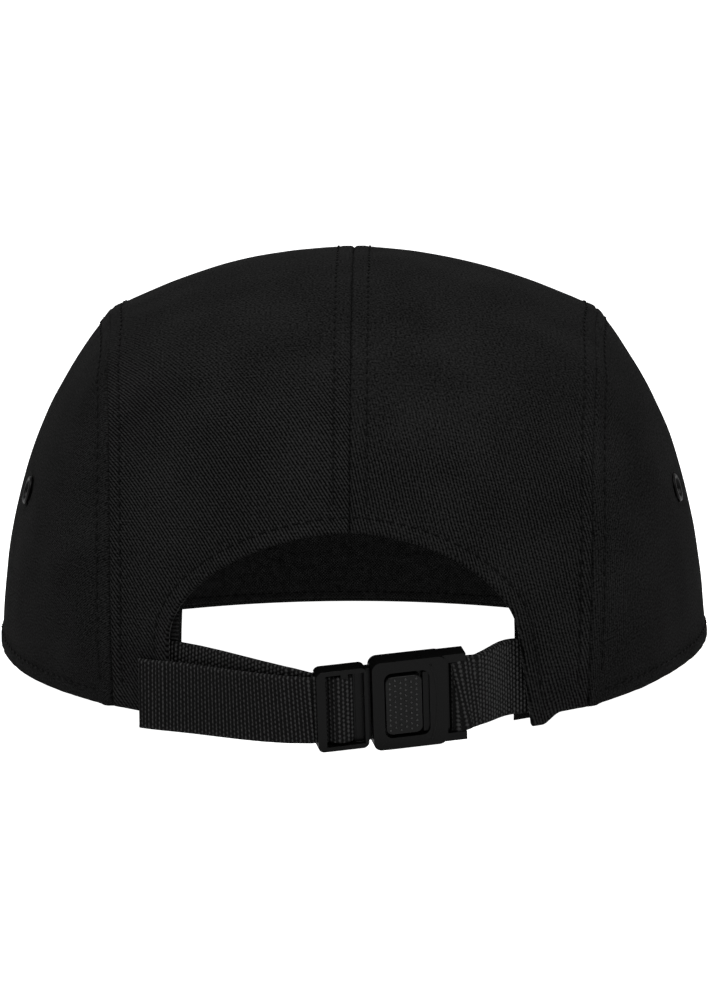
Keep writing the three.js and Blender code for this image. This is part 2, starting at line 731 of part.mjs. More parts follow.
// The adjustable strap: its hidden end lies between crown and sweatband, it runs behind the lock bar,
// round the web bar, back under the lock bar and out as the tail, which ends outside the left leg
function adjustableStrap() {
  const inner = legShares.map((share) =>
    atLeg(between(archHalfLeft + hiddenReach, archHalfLeft - pastEdge, share), adjustHeight, firstInside),
  );
  const tail = legShares.map((share) =>
    atLeg(between(archHalfLeft - pastEdge, archHalfLeft + tailReach, share), tailHeight, outside),
  );
  const barHalf = webBarWidth / 2;
  const radius = webBarDepth / 2 + clearance + webbingThickness / 2;
  const entry = frameStart - pastEdge;
  const shift = webbingPlay - clearance * 1.5;
  const under = frameDepth / 2 - lockBarDepth - clearance - webbingThickness / 2;
  const behind = under - webbingThickness - clearance;
  const back = [
    atBuckle(entry, behind, shift),
    atBuckle(frameStart + lockBarWidth / 2, behind, shift),
    atBuckle(webBarMiddle - barHalf, -radius, shift),
  ];
  const turn = evenly(6).map((share) => {
    const angle = share * Math.PI;
    const x = webBarMiddle + barHalf - turnInset + radius * Math.sin(angle);
    return atBuckle(x, -radius * Math.cos(angle), between(shift, 0, share));
  });
  const front = [
    atBuckle(webBarMiddle - barHalf - turnInset, radius),
    atBuckle(frameStart + lockBarWidth + clearance, under),
    atBuckle(entry, under),
  ];
  const outgoing = freeStretch(
    inner.at(-1),
    heading(inner.at(-2), inner.at(-1)),
    back[0],
    runRight,
    6,
  );
  const returning = freeStretch(front.at(-1), runLeft, tail[0], heading(tail[0], tail[1]), 6);
  return ribbon([...inner, ...outgoing, ...back, ...turn, ...front, ...returning, ...tail]);
}

// The fixed strap: one loop whose two ends lie between crown and sweatband at the right leg, the rear
// layer a little higher, turned round the bar between the housing's lips
function fixedStrap() {
  const hiddenEnd = archHalfRight + archFlareRight + hiddenReach;
  const layer = (depth, height) =>
    legShares.map((share) =>
      atLeg(-between(hiddenEnd, archHalfRight - pastEdge, share), height, depth),
    );
  const front = layer(firstInside, loopHeight);
  const rear = layer(secondInside, loopHeight + loopStep).reverse();
  const barHalf = loopBarWidth / 2;
  const radius = loopBarDepth / 2 + clearance + webbingThickness / 2;
  const turn = evenly(6).map((share) => {
    const angle = share * Math.PI;
    const x = loopBarMiddle - barHalf + turnInset - radius * Math.sin(angle);
    return atBuckle(x, radius * Math.cos(angle));
  });
  const exit = housingStart + housingLength + exitReach;
  const frontExit = [atBuckle(loopBarMiddle + barHalf, radius), atBuckle(exit, layerOffset)];
  const rearExit = [atBuckle(exit, -layerOffset), atBuckle(loopBarMiddle + barHalf, -radius)];
  const incoming = freeStretch(
    front.at(-1),
    heading(front.at(-2), front.at(-1)),
    frontExit[1],
    runLeft,
    5,
  );
  const outgoing = freeStretch(rearExit[0], runRight, rear[0], heading(rear[0], rear[1]), 5);
  return ribbon([
    ...front,
    ...incoming,
    ...frontExit.reverse(),
    ...turn,
    ...rearExit.reverse(),
    ...outgoing,
    ...rear,
  ]);
}

const finishes = {
  twill: { color: 0x1b1b1d, roughness: 0.95, metalness: 0 },
  sweatband: { color: 0x141416, roughness: 0.95, metalness: 0 },
  webbing: { color: 0x161618, roughness: 0.85, metalness: 0 },
  plastic: { color: 0x121213, roughness: 0.45, metalness: 0 },
  metal: { color: 0x3a3a3e, roughness: 0.35, metalness: 0.9 },
};

function piece(name, geometry, finish) {
  const mesh = new THREE.Mesh(geometry, new THREE.MeshStandardMaterial(finishes[finish]));
  mesh.name = name;
  return mesh;
}

const cap = new THREE.Group();
const sheetPanel = (name) => thickened(crownSheets[name], crownNormals, cloth, clearance / 2);
const arch = archPrism();
cap.add(
  piece('front_panel', sheetPanel('front_panel'), 'twill'),
  piece('back_panel_left', cut(sheetPanel('back_panel_left'), [arch]), 'twill'),
  piece('back_panel_right', cut(sheetPanel('back_panel_right'), [arch]), 'twill'),
  piece('side_panel_left', sidePanel('side_panel_left', 1), 'twill'),
  piece('side_panel_right', sidePanel('side_panel_right', -1), 'twill'),
  piece('sweatband', sweatband(), 'sweatband'),
  piece('brim', brim(), 'twill'),
  piece('strap_left', adjustableStrap(), 'webbing'),
  piece('strap_right', fixedStrap(), 'webbing'),
);

for (const [name, side] of [['left', 1], ['right', -1]]) {
  const { place, turn } = eyeletSeat(side);
  const seat = new THREE.Group();
  seat.position.copy(place);
  seat.quaternion.copy(turn);
  seat.add(
    piece(`eyelet_ring_${name}`, eyeletRing(), 'metal'),
    piece(`eyelet_mesh_${name}`, eyeletMesh(), 'metal'),
  );
  cap.add(seat);
}

for (const [name, geometry] of Object.entries(buckleParts)) buckle.add(piece(name, geometry, 'plastic'));
cap.add(buckle);

// The cap is set so that its box is centred over the origin and stands on z = 0
const box = new THREE.Box3().setFromObject(cap, true);
cap.position.set(0, -(box.min.y + box.max.y) / 2, -box.min.z);

export default cap;
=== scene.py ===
# A black five-panel cap seen from behind: cotton twill crown and brim, arched rear opening, ribbed
# webbing strap with a moulded buckle, and a lacquered eyelet in each side panel.
# Shapes are worked out in millimetres about the crown's middle and placed in metres.
import math
import random

import bmesh
import bpy
import numpy as np
from mathutils import Matrix, Quaternion, Vector, bvhtree, kdtree, noise


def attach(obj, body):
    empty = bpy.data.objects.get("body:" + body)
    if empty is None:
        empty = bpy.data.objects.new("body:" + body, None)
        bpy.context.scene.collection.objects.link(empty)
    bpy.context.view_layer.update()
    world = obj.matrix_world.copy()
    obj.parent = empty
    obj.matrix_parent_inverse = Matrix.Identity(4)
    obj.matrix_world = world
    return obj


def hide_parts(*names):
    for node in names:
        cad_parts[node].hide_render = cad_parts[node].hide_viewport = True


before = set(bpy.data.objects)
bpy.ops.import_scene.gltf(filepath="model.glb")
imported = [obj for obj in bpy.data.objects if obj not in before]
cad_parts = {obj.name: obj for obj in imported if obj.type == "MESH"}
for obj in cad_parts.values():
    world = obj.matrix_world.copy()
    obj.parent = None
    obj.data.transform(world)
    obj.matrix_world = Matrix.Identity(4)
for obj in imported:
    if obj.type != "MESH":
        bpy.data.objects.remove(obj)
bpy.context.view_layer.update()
random.seed(5)

# The crown's middle lies this far behind the origin, in millimetres
CROWN_SHIFT = 28.0695

RIM_HALF_WIDTH = 94.8
RIM_HALF_LENGTH = 98.0
CROWN_HEIGHT = 117.5
CLOTH = 1.35
ROUNDING = 0.4
PANEL_LIP = 0.3
CROSS_SEAM = 10 / 26
ARCH_TOP = 54.0
ARCH_SPRING = 26.0
ARCH_HALF = {1: 46.0, -1: 43.0}
ARCH_FLARE = {1: 0.0, -1: 3.8}
ARCH_POWER = 1.8
CORNER_DROOP = 2.5
DROOP_REACH = 2.0
DROOP_FADE = 5.0
# Stitches' pitch, and how far their rows lie from a seam, the centre seam and a hemmed edge
STITCH_PITCH = 3.0
SEAM_STITCH = 3.5
CENTRE_STITCH = 4.2
HEM_STITCH = 4.0
BAND_HEIGHT = 30.0
BAND_HEM = 1.0
BAND_THICKNESS = 0.95
BAND_STITCH = 1.7
BAND_INSET = 2.3
STRAP_PLAY = 0.3
# The turn in degrees over which the sweatband makes room for the straps' ends, and fades back
BAND_FULL_TURN = 14.5
BAND_FADE_TURN = 20
BRIM_HALF_WIDTH = 88.0
BRIM_LENGTH = 66.0
BRIM_THICKNESS = 3.2
BRIM_CORNER_TURN = 51.0
BRIM_DROP = 0.5
BRIM_FIRST_ROW = 5
BRIM_ROW_GAP = 6.5
BRIM_STITCH_ROWS = 7
ADJUSTABLE_WIDTH = 18.0
FIXED_WIDTH = 19.2
WEBBING = 1.2
RIB_PITCH = 1.04
TAIL_FOLD = 7.6
TAIL_STITCH = 5.0

# Middle line (y, z) and side seam (x, y, z) of the crown, front to back, as shares of its sizes
CROWN_ROWS = [
    (-1.0, 0.052, 0.649, -0.761, 0.053),
    (-1.015, 0.246, 0.66, -0.791, 0.239),
    (-0.99, 0.451, 0.67, -0.781, 0.426),
    (-0.918, 0.647, 0.681, -0.719, 0.595),
    (-0.776, 0.809, 0.686, -0.592, 0.732),
    (-0.551, 0.919, 0.687, -0.398, 0.813),
    (-0.265, 0.979, 0.687, -0.173, 0.849),
    (0.041, 1.0, 0.687, 0.061, 0.859),
    (0.347, 0.97, 0.673, 0.296, 0.838),
    (0.622, 0.872, 0.668, 0.5, 0.766),
    (0.827, 0.703, 0.657, 0.648, 0.643),
    (0.939, 0.485, 0.651, 0.735, 0.469),
    (0.99, 0.246, 0.647, 0.77, 0.246),
    (1.01, 0.042, 0.64, 0.765, 0.056),
]
SIDE_RIMS = {1: [0.053, 0.084, 0.103, 0.075, 0.056], -1: [0.053, 0.088, 0.114, 0.094, 0.056]}
SIDE_SWELL_OUT = 0.087
SIDE_SWELL_UP = 0.039
# The brim's edge from its middle to its corner: sideways, forward and height shares
BRIM_ROWS = [
    (0, 1, 0.017),
    (0.38, 0.95, 0.014),
    (0.69, 0.78, 0.002),
    (0.905, 0.47, -0.02),
    (0.985, 0.04, -0.012),
    (0.9, -0.5, 0.06),
]

# The way up at the buckle, where both straps lean as it does
LEAN = (0.026, 0.231, 0.973)
# Middle line of the adjustable strap: hidden end, buckle's bar, tail; a place and the way up at each
ADJUSTABLE_ROUTE = [
    ((56.53, 75.27, 15.94), (0.007, 0.009, 1.000)),
    ((52.20, 78.24, 15.94), (0.000, -0.002, 1.000)),
    ((48.06, 80.95, 15.85), (0.007, -0.021, 1.000)),
    ((43.73, 83.37, 15.85), (0.006, -0.037, 0.999)),
    ((38.11, 86.86, 15.49), (0.010, 0.008, 1.000)),
    ((32.53, 90.69, 14.99), (0.013, 0.053, 0.999)),
    ((26.96, 94.50, 14.37), (0.016, 0.098, 0.995)),
    ((21.34, 97.96, 13.69), (0.019, 0.143, 0.990)),
    ((15.60, 100.67, 12.91), (0.022, 0.187, 0.982)),
    ((9.71, 102.23, 11.85), LEAN),
    ((7.60, 101.72, 11.82), LEAN),
    ((3.26, 100.70, 11.87), LEAN),
    ((1.41, 100.27, 11.87), LEAN),
    ((0.58, 100.29, 11.89), LEAN),
    ((-0.12, 100.73, 11.80), LEAN),
    ((-0.52, 101.44, 11.64), LEAN),
    ((-0.48, 102.25, 11.45), LEAN),
    ((-0.04, 102.93, 11.28), LEAN),
    ((0.69, 103.30, 11.17), LEAN),
    ((2.73, 103.75, 11.01), LEAN),
    ((5.84, 102.73, 11.17), LEAN),
    ((9.35, 103.50, 10.89), LEAN),
    ((15.55, 102.04, 10.79), (0.021, 0.193, 0.981)),
    ((21.67, 99.66, 10.83), (0.016, 0.154, 0.988)),
    ((27.72, 96.65, 10.95), (0.011, 0.116, 0.993)),
    ((33.72, 93.28, 11.11), (0.006, 0.077, 0.997)),
    ((39.68, 89.83, 11.25), (0.002, 0.038, 0.999)),
    ((45.61, 86.60, 11.31), (-0.003, -0.001, 1.000)),
    ((48.22, 85.11, 11.28), (-0.000, 0.001, 1.000)),
    ((50.85, 83.64, 11.28), (-0.003, 0.009, 1.000)),
    ((53.61, 81.72, 11.27), (-0.003, 0.027, 1.000)),
]
# Middle line of the fixed strap's loop: front layer, turn round the housing's bar, rear layer
FIXED_ROUTE = [
    ((-57.33, 74.78, 16.20), (-0.000, 0.020, 1.000)),
    ((-51.73, 78.62, 16.20), (-0.007, -0.002, 1.000)),
    ((-46.33, 81.96, 16.20), (-0.000, -0.016, 1.000)),
    ((-40.73, 85.09, 16.20), (-0.006, -0.037, 0.999)),
    ((-38.88, 87.03, 16.05), (-0.000, 0.017, 1.000)),
    ((-37.25, 89.27, 15.80), (0.006, 0.071, 0.997)),
    ((-35.68, 91.56, 15.45), (0.013, 0.125, 0.992)),
    ((-34.00, 93.66, 15.05), (0.019, 0.178, 0.984)),
    ((-32.05, 95.34, 14.60), LEAN),
    ((-29.02, 96.80, 13.80), LEAN),
    ((-27.46, 97.14, 13.37), LEAN),
    ((-26.63, 97.11, 13.35), LEAN),
    ((-25.93, 96.68, 13.44), LEAN),
    ((-25.54, 95.96, 13.60), LEAN),
    ((-25.57, 95.16, 13.79), LEAN),
    ((-26.01, 94.48, 13.96), LEAN),
    ((-26.74, 94.10, 14.07), LEAN),
    ((-28.30, 93.76, 14.19), LEAN),
    ((-31.69, 93.82, 14.50), LEAN),
    ((-33.57, 92.17, 15.00), (0.019, 0.177, 0.984)),
    ((-35.18, 90.11, 15.40), (0.011, 0.122, 0.992)),
    ((-36.67, 87.86, 15.75), (0.004, 0.066, 0.998)),
    ((-38.22, 85.67, 16.00), (-0.003, 0.011, 1.000)),
    ((-40.00, 83.76, 16.10), (-0.010, -0.044, 0.999)),
    ((-45.60, 80.64, 16.20), (-0.010, -0.025, 1.000)),
    ((-50.88, 77.42, 16.20), (-0.011, -0.012, 1.000)),
    ((-56.48, 73.58, 16.20), (-0.000, 0.019, 1.000)),
]

# The buckle's place and turn: x along it to the wearer's right, y up it, z out of its face
BUCKLE = Matrix.Translation((-10.3, 99.3, 12.41)) @ Quaternion(
    (-0.096682, -0.060286, 0.778433, 0.6173)
).to_matrix().to_4x4()
# Where the adjuster and the housing start along the buckle
ADJUSTER_START = -19.15
HOUSING_START = -5.05
# The radius of the hole for an eyelet in metres, and the eyelets' places and turns, by side
EYELET_HOLE = 0.0031
EYELETS = {
    1: Matrix.Translation((85.21, 29.76, 56.0))
    @ Quaternion((0.794476, -0.121869, 0.594942, 0)).to_matrix().to_4x4(),
    -1: Matrix.Translation((-85.01, 29.72, 56.98))
    @ Quaternion((0.796387, -0.121608, -0.592435, 0)).to_matrix().to_4x4(),
}


def metres(point):
    """A place in the crown's millimetres as one in the scene."""
    return Vector((point[0], point[1] + CROWN_SHIFT, point[2])) / 1000


TO_METRES = Matrix.Scale(0.001, 4) @ Matrix.Translation((0, CROWN_SHIFT, 0))


def between(a, b, share):
    return a * (1 - share) + b * share


def smooth(share):
    share = min(max(share, 0), 1)
    return share * share * (3 - 2 * share)


def bump(distance, middle, width):
    return math.exp(-(((distance - middle) / width) ** 2))


def curve_point(points, share):
    """A point of the open curve through points at even steps."""
    last = len(points) - 1
    place = min(max(share, 0), 1) * last
    i = min(int(place), last - 1)
    t = place - i
    start, end = points[i], points[i + 1]
    before = points[i - 1] if i > 0 else start * 2 - end
    after = points[i + 2] if i + 2 <= last else end * 2 - start
    leave, arrive = (end - before) * 0.5, (after - start) * 0.5
    return (
        start
        + leave * t
        + (start * -3 + end * 3 - leave * 2 - arrive) * (t * t)
        + (start * 2 - end * 2 + leave + arrive) * (t * t * t)
    )


MIDDLE_LINE = [Vector((0, y * RIM_HALF_LENGTH, z * CROWN_HEIGHT)) for y, z, _, _, _ in CROWN_ROWS]
SEAM_LINE = [
    Vector((x * RIM_HALF_WIDTH, y * RIM_HALF_LENGTH, z * CROWN_HEIGHT)) for _, _, x, y, z in CROWN_ROWS
]


def strip_point(s, across):
    """A point of the strip between the side seams, front rim (s 0) to back rim (s 1)."""
    middle, seam = curve_point(MIDDLE_LINE, s), curve_point(SEAM_LINE, s)
    bend = across * across
    point = Vector(
        (seam.x * across, between(middle.y, seam.y, bend), between(middle.z, seam.z, bend))
    )
    past_leg = -point.x - ARCH_HALF[-1] - ARCH_FLARE[-1] - DROOP_REACH
    if across < 0:
        fade = smooth(1 - past_leg / DROOP_FADE) * smooth((s - 1) * (len(CROWN_ROWS) - 1) + 1)
        point.z -= CORNER_DROOP * fade
    return point


def side_rim_point(s, side):
    """A point of a side panel's lower edge, front (s 0) to back (s 1)."""
    front, back = SEAM_LINE[0], SEAM_LINE[-1]
    front_turn = -math.acos(front.x / RIM_HALF_WIDTH)
    back_turn = math.acos(back.x / RIM_HALF_WIDTH)
    turn = between(front_turn, back_turn, s)
    front_shift = front.y - RIM_HALF_LENGTH * math.sin(front_turn)
    back_shift = back.y - RIM_HALF_LENGTH * math.sin(back_turn)
    heights = [Vector((0, 0, height * CROWN_HEIGHT)) for height in SIDE_RIMS[side]]
    return Vector(
        (
            side * RIM_HALF_WIDTH * math.cos(turn),
            RIM_HALF_LENGTH * math.sin(turn) + between(front_shift, back_shift, s),
            curve_point(heights, s).z,
        )
    )


def side_point(s, up, side):
    """A point of a side panel, front to back (s) and rim (up 0) to seam (up 1)."""
    rim = side_rim_point(s, side)
    seam = curve_point(SEAM_LINE, s)
    seam.x *= side
    rise = seam - rim
    length = rise.length
    if length < 1e-6:
        return rim
    rise.normalize()
    outward = Vector((rim.x / RIM_HALF_WIDTH**2, rim.y / RIM_HALF_LENGTH**2, 0))
    outward = (outward - rise * outward.dot(rise)).normalized()
    control = rim.lerp(seam, 0.5)
    control += outward * (2 * SIDE_SWELL_OUT * length) + rise * (2 * SIDE_SWELL_UP * length)
    return rim * (1 - up) ** 2 + control * (2 * up * (1 - up)) + seam * up**2


class Line:
    """A polyline on the cap that distances are measured from."""

    def __init__(self, points):
        self.points = points
        self.along = [0.0]
        for a, b in zip(points, points[1:]):
            self.along.append(self.along[-1] + (b - a).length)
        self.tree = kdtree.KDTree(len(points))
        for i, point in enumerate(points):
            self.tree.insert(point, i)
        self.tree.balance()

    def measure(self, place):
        """The distance from the line, and how far along it the nearest point is."""
        _, i, best = self.tree.find(place)
        along = self.along[i]
        for j in (i - 1, i):
            if 0 <= j < len(self.points) - 1:
                a, run = self.points[j], self.points[j + 1] - self.points[j]
                share = min(max((place - a).dot(run) / (run.length_squared + 1e-12), 0), 1)
                distance = (place - a - run * share).length
                if distance < best:
                    best, along = distance, self.along[j] + run.length * share
        return best, along


def evenly(count):
    return [i / count for i in range(count + 1)]


SEAM_POINTS = [strip_point(s, 1) for s in evenly(500)]
SIDE_SEAMS = {side: Line([Vector((side * p.x, p.y, p.z)) for p in SEAM_POINTS]) for side in (1, -1)}
CENTRE_SEAM = Line([strip_point(between(CROSS_SEAM, 1, s), 0) for s in evenly(400)])
CROSS_LINE = Line([strip_point(CROSS_SEAM, between(-1, 1, a)) for a in evenly(240)])
ARC_STEPS = 600
ARC_OF_MIDDLE = Line([strip_point(s, 0) for s in evenly(ARC_STEPS)]).along


def arc_of(s):
    """The length of the middle line from the front rim to s, in millimetres."""
    place = min(max(s, 0), 1) * ARC_STEPS
    i = min(int(place), ARC_STEPS - 1)
    return between(ARC_OF_MIDDLE[i], ARC_OF_MIDDLE[i + 1], place - i)


def strip_share(x, z, side):
    """Where on the strip's back a place seen from behind lies, as (across, s)."""
    low, high = 0.5, 1.0
    across = 0.0
    for _ in range(26):
        s = (low + high) / 2
        across = side * x / curve_point(SEAM_LINE, s).x
        if strip_point(s, side * across).z > z:
            low = s
        else:
            high = s
    return across, (low + high) / 2


ARCH_STEPS = 200


def arch_edge(side):
    """The arched opening's edge from its top to the foot of the leg, as (across, s) at even steps."""
    outline = []
    for share in evenly(160):
        turn = (1 - share) * math.pi / 2
        x = ARCH_HALF[side] * math.cos(turn) ** (2 / ARCH_POWER) if share < 1 else ARCH_HALF[side]
        z = ARCH_SPRING + (ARCH_TOP - ARCH_SPRING) * math.sin(turn) ** (2 / ARCH_POWER)
        outline.append((x, z))
    for share in evenly(60)[1:]:
        z = between(ARCH_SPRING, 0, share)
        outline.append((ARCH_HALF[side] + ARCH_FLARE[side] * (1 - z / ARCH_SPRING), z))
    places = []
    for x, z in outline:
        across, s = strip_share(side * x, z, side)
        places.append((across, s))
        if s > 0.9999:
            break
    points = [strip_point(s, side * across) for across, s in places]
    line = Line(points)
    even = []
    for share in evenly(ARCH_STEPS):
        reach = share * line.along[-1]
        i = min(int(np.searchsorted(line.along, reach)), len(points) - 1)
        i = max(i, 1)
        t = (reach - line.along[i - 1]) / max(line.along[i] - line.along[i - 1], 1e-9)
        (a0, s0), (a1, s1) = places[i - 1], places[i]
        even.append((between(a0, a1, t), between(s0, s1, t)))
    return even


ARCH_EDGES = {side: arch_edge(side) for side in (1, -1)}
ARCH_LINES = {side: Line([strip_point(s, side * a) for a, s in ARCH_EDGES[side]]) for side in (1, -1)}
# The share of a back panel's arch that faces the cross seam
CORNER_COLUMN = 0.37


def back_share(u, v, side):
    """Maps a back panel's square, arch and rim (v 0) to seams (v 1), to (across, s) of the strip."""
    place = u * ARCH_STEPS
    i = min(int(place), ARCH_STEPS - 1)
    (a0, s0), (a1, s1) = ARCH_EDGES[side][i], ARCH_EDGES[side][i + 1]
    inner = (between(a0, a1, place - i), between(s0, s1, place - i))
    if u <= CORNER_COLUMN:
        outer = (u / CORNER_COLUMN, CROSS_SEAM)
    else:
        outer = (1.0, between(CROSS_SEAM, 1, (u - CORNER_COLUMN) / (1 - CORNER_COLUMN)))
    return between(inner[0], outer[0], v), between(inner[1], outer[1], v)


def back_point(u, v, side):
    across, s = back_share(u, v, side)
    return strip_point(s, side * across)


# Distances from a sewn edge at which a cloth piece's mesh has its lines, in millimetres
FINE = [0, 0.05, 0.14, 0.28, 0.48, 0.75, 1.1, 1.6, 2.2, 2.8, 3.2, 3.5, 3.8, 4.2, 4.7, 5.4]


def graded(length, step, start=True, end=True):
    """Shares of a length, close together near the ends that are sewn or hemmed."""
    begin = FINE if start else [0]
    finish = [length - f for f in reversed(FINE)] if end else [length]
    count = max(round((finish[0] - begin[-1]) / step), 1)
    middle = [between(begin[-1], finish[0], i / count) for i in range(1, count)]
    return [value / length for value in [*begin, *middle, *finish]]


CROWN_MIDDLE = np.array((0.0, 0.0, 40.0))


def cloth_body(
    name,
    columns,
    rows,
    place,
    thickness,
    rounding,
    relief=None,
    weave=None,
    turn=None,
    hole=None,
    normal=None,
    both=False,
    lip=0.5,
    panel=False,
    steady=0,
):
    """A closed cloth piece: an outer and an inner grid, moved by formula, that meet round its edge.
    relief lifts the outer face, and with both the inner one too. weave gives the place in the cloth in
    millimetres. The outer face looks away from the crown's middle unless turn says which way it
    looks. lip is how deep in the cloth the two faces meet, as a share of its thickness. A crown panel
    has its second finish inside, and its edges draw in towards the crown's middle as its neighbours'
    do. steady is how many columns at each end look the way that the next one does, where the piece
    narrows to a point."""
    wide, high = len(columns) - 1, len(rows) - 1
    points = np.array([[place(u, v) for v in rows] for u in columns])
    du, dv = np.gradient(points, axis=0), np.gradient(points, axis=1)
    normals = np.cross(du, dv)
    normals *= turn or (1 if (normals * (points - CROWN_MIDDLE)).sum() > 0 else -1)
    if normal:
        normals[:] = normal
    sizes = np.linalg.norm(normals, axis=2)
    for end, inside in ((0, 1), (wide, wide - 1)):
        if sizes[end].max() < 1e-3 or sizes[end].min() < 1e-4:
            normals[end], sizes[end] = normals[inside], sizes[inside]
    normals /= np.maximum(sizes, 1e-12)[..., None]
    if steady:
        normals[:steady], normals[-steady:] = normals[steady], normals[-steady - 1]
    ring = [(i, 0) for i in range(wide)] + [(wide, j) for j in range(high)]
    ring += [(i, high) for i in range(wide, 0, -1)] + [(0, j) for j in range(high, -1, -1)]
    edge = Line([Vector(points[i, j]) for i, j in ring])
    bm = bmesh.new()
    pattern = bm.loops.layers.uv.new("weave")
    maps = {}
    for layer in range(2):
        made = bmesh.ops.create_grid(bm, x_segments=wide, y_segments=high, size=1)["verts"]
        for vert in made:
            i = round((vert.co.x + 1) / 2 * wide)
            j = round((vert.co.y + 1) / 2 * high)
            point, out = Vector(points[i, j]), Vector(normals[i, j])
            near = min(edge.measure(point)[0] / rounding, 1)
            drop = thickness * (1 - math.sqrt(max(1 - (1 - near) ** 2, 0)))
            if panel:
                out = (point - Vector(CROWN_MIDDLE)).normalized().lerp(out, near).normalized()
            raised = relief(columns[i], rows[j], point) if relief and (layer == 0 or both) else 0
            raised *= near
            depth = drop * lip - raised if layer == 0 else thickness - drop * (1 - lip) + raised
            maps[vert] = weave(columns[i], rows[j], point) if weave else (point.x, point.z)
            vert.co = metres(point - out * depth)
    inner = set(made)
    for face in bm.faces:
        # A crown panel's inner faces take its second finish, the lighter twill with painted light
        face.material_index = 1 if panel and face.verts[0] in inner else 0
        for loop in face.loops:
            loop[pattern].uv = maps[loop.vert]
    if hole:
        centre, radius = hole
        gone = [vert for vert in bm.verts if (vert.co - centre).length < radius]
        bmesh.ops.delete(bm, geom=gone, context="VERTS")
        open_edges = [e for e in bm.edges if len(e.link_faces) == 1]
        rim = [e for e in open_edges if (e.verts[0].co - centre).length < radius * 1.6]
        bmesh.ops.bridge_loops(bm, edges=rim)
    bmesh.ops.remove_doubles(bm, verts=bm.verts, dist=1e-6)
    bmesh.ops.dissolve_degenerate(bm, edges=bm.edges, dist=1e-7)
    bmesh.ops.recalc_face_normals(bm, faces=bm.faces)
    return finished(name, bm)


def finished(name, bm, smooth_faces=True):
    """Puts a bmesh in the scene as a piece."""
    mesh = bpy.data.meshes.new(name)
    bm.to_mesh(mesh)
    bm.free()
    mesh.polygons.foreach_set("use_smooth", [smooth_faces] * len(mesh.polygons))
    piece = bpy.data.objects.new(name, mesh)
    bpy.context.scene.collection.objects.link(piece)
    return piece


def linear(hex_colour):
    """An sRGB hex colour as the linear one that shaders take."""
    channels = [int(hex_colour[i : i + 2], 16) / 255 for i in (1, 3, 5)]
    return (*[c / 12.92 if c <= 0.04045 else ((c + 0.055) / 1.055) ** 2.4 for c in channels], 1)


def add_node(tree, kind, settings=None, inputs=None):
    """Adds a node with its settings; an input is a value, a socket, or a node whose first output is meant."""
    made = tree.nodes.new(kind)
    for name, value in (settings or {}).items():
        setattr(made, name, value)
    for name, value in (inputs or {}).items():
        source = value.outputs[0] if isinstance(value, bpy.types.Node) else value
        if isinstance(source, bpy.types.NodeSocket):
            tree.links.new(source, made.inputs[name])
        else:
            made.inputs[name].default_value = source
    return made


MATH, DOT = "ShaderNodeMath", {"operation": "DOT_PRODUCT"}
TIMES, TIMES_ADD, SINE = ({"operation": word} for word in ("MULTIPLY", "MULTIPLY_ADD", "SINE"))
TURN = 2 * math.pi


def new_material(name):
    made = bpy.data.materials.new(name)
    made.use_nodes = True
    made.node_tree.nodes.clear()
    return made, made.node_tree


def close_material(tree, colour, roughness, height=None, distance=0.0001, strength=1.0, constants=None):
    inputs = {"Base Color": colour, "Roughness": roughness, **(constants or {})}
    if height is not None:
        lift = {"Height": height, "Distance": distance, "Strength": strength}
        inputs["Normal"] = add_node(tree, "ShaderNodeBump", None, lift)
    shader = add_node(tree, "ShaderNodeBsdfPrincipled", None, inputs)
    add_node(tree, "ShaderNodeOutputMaterial", None, {"Surface": shader})


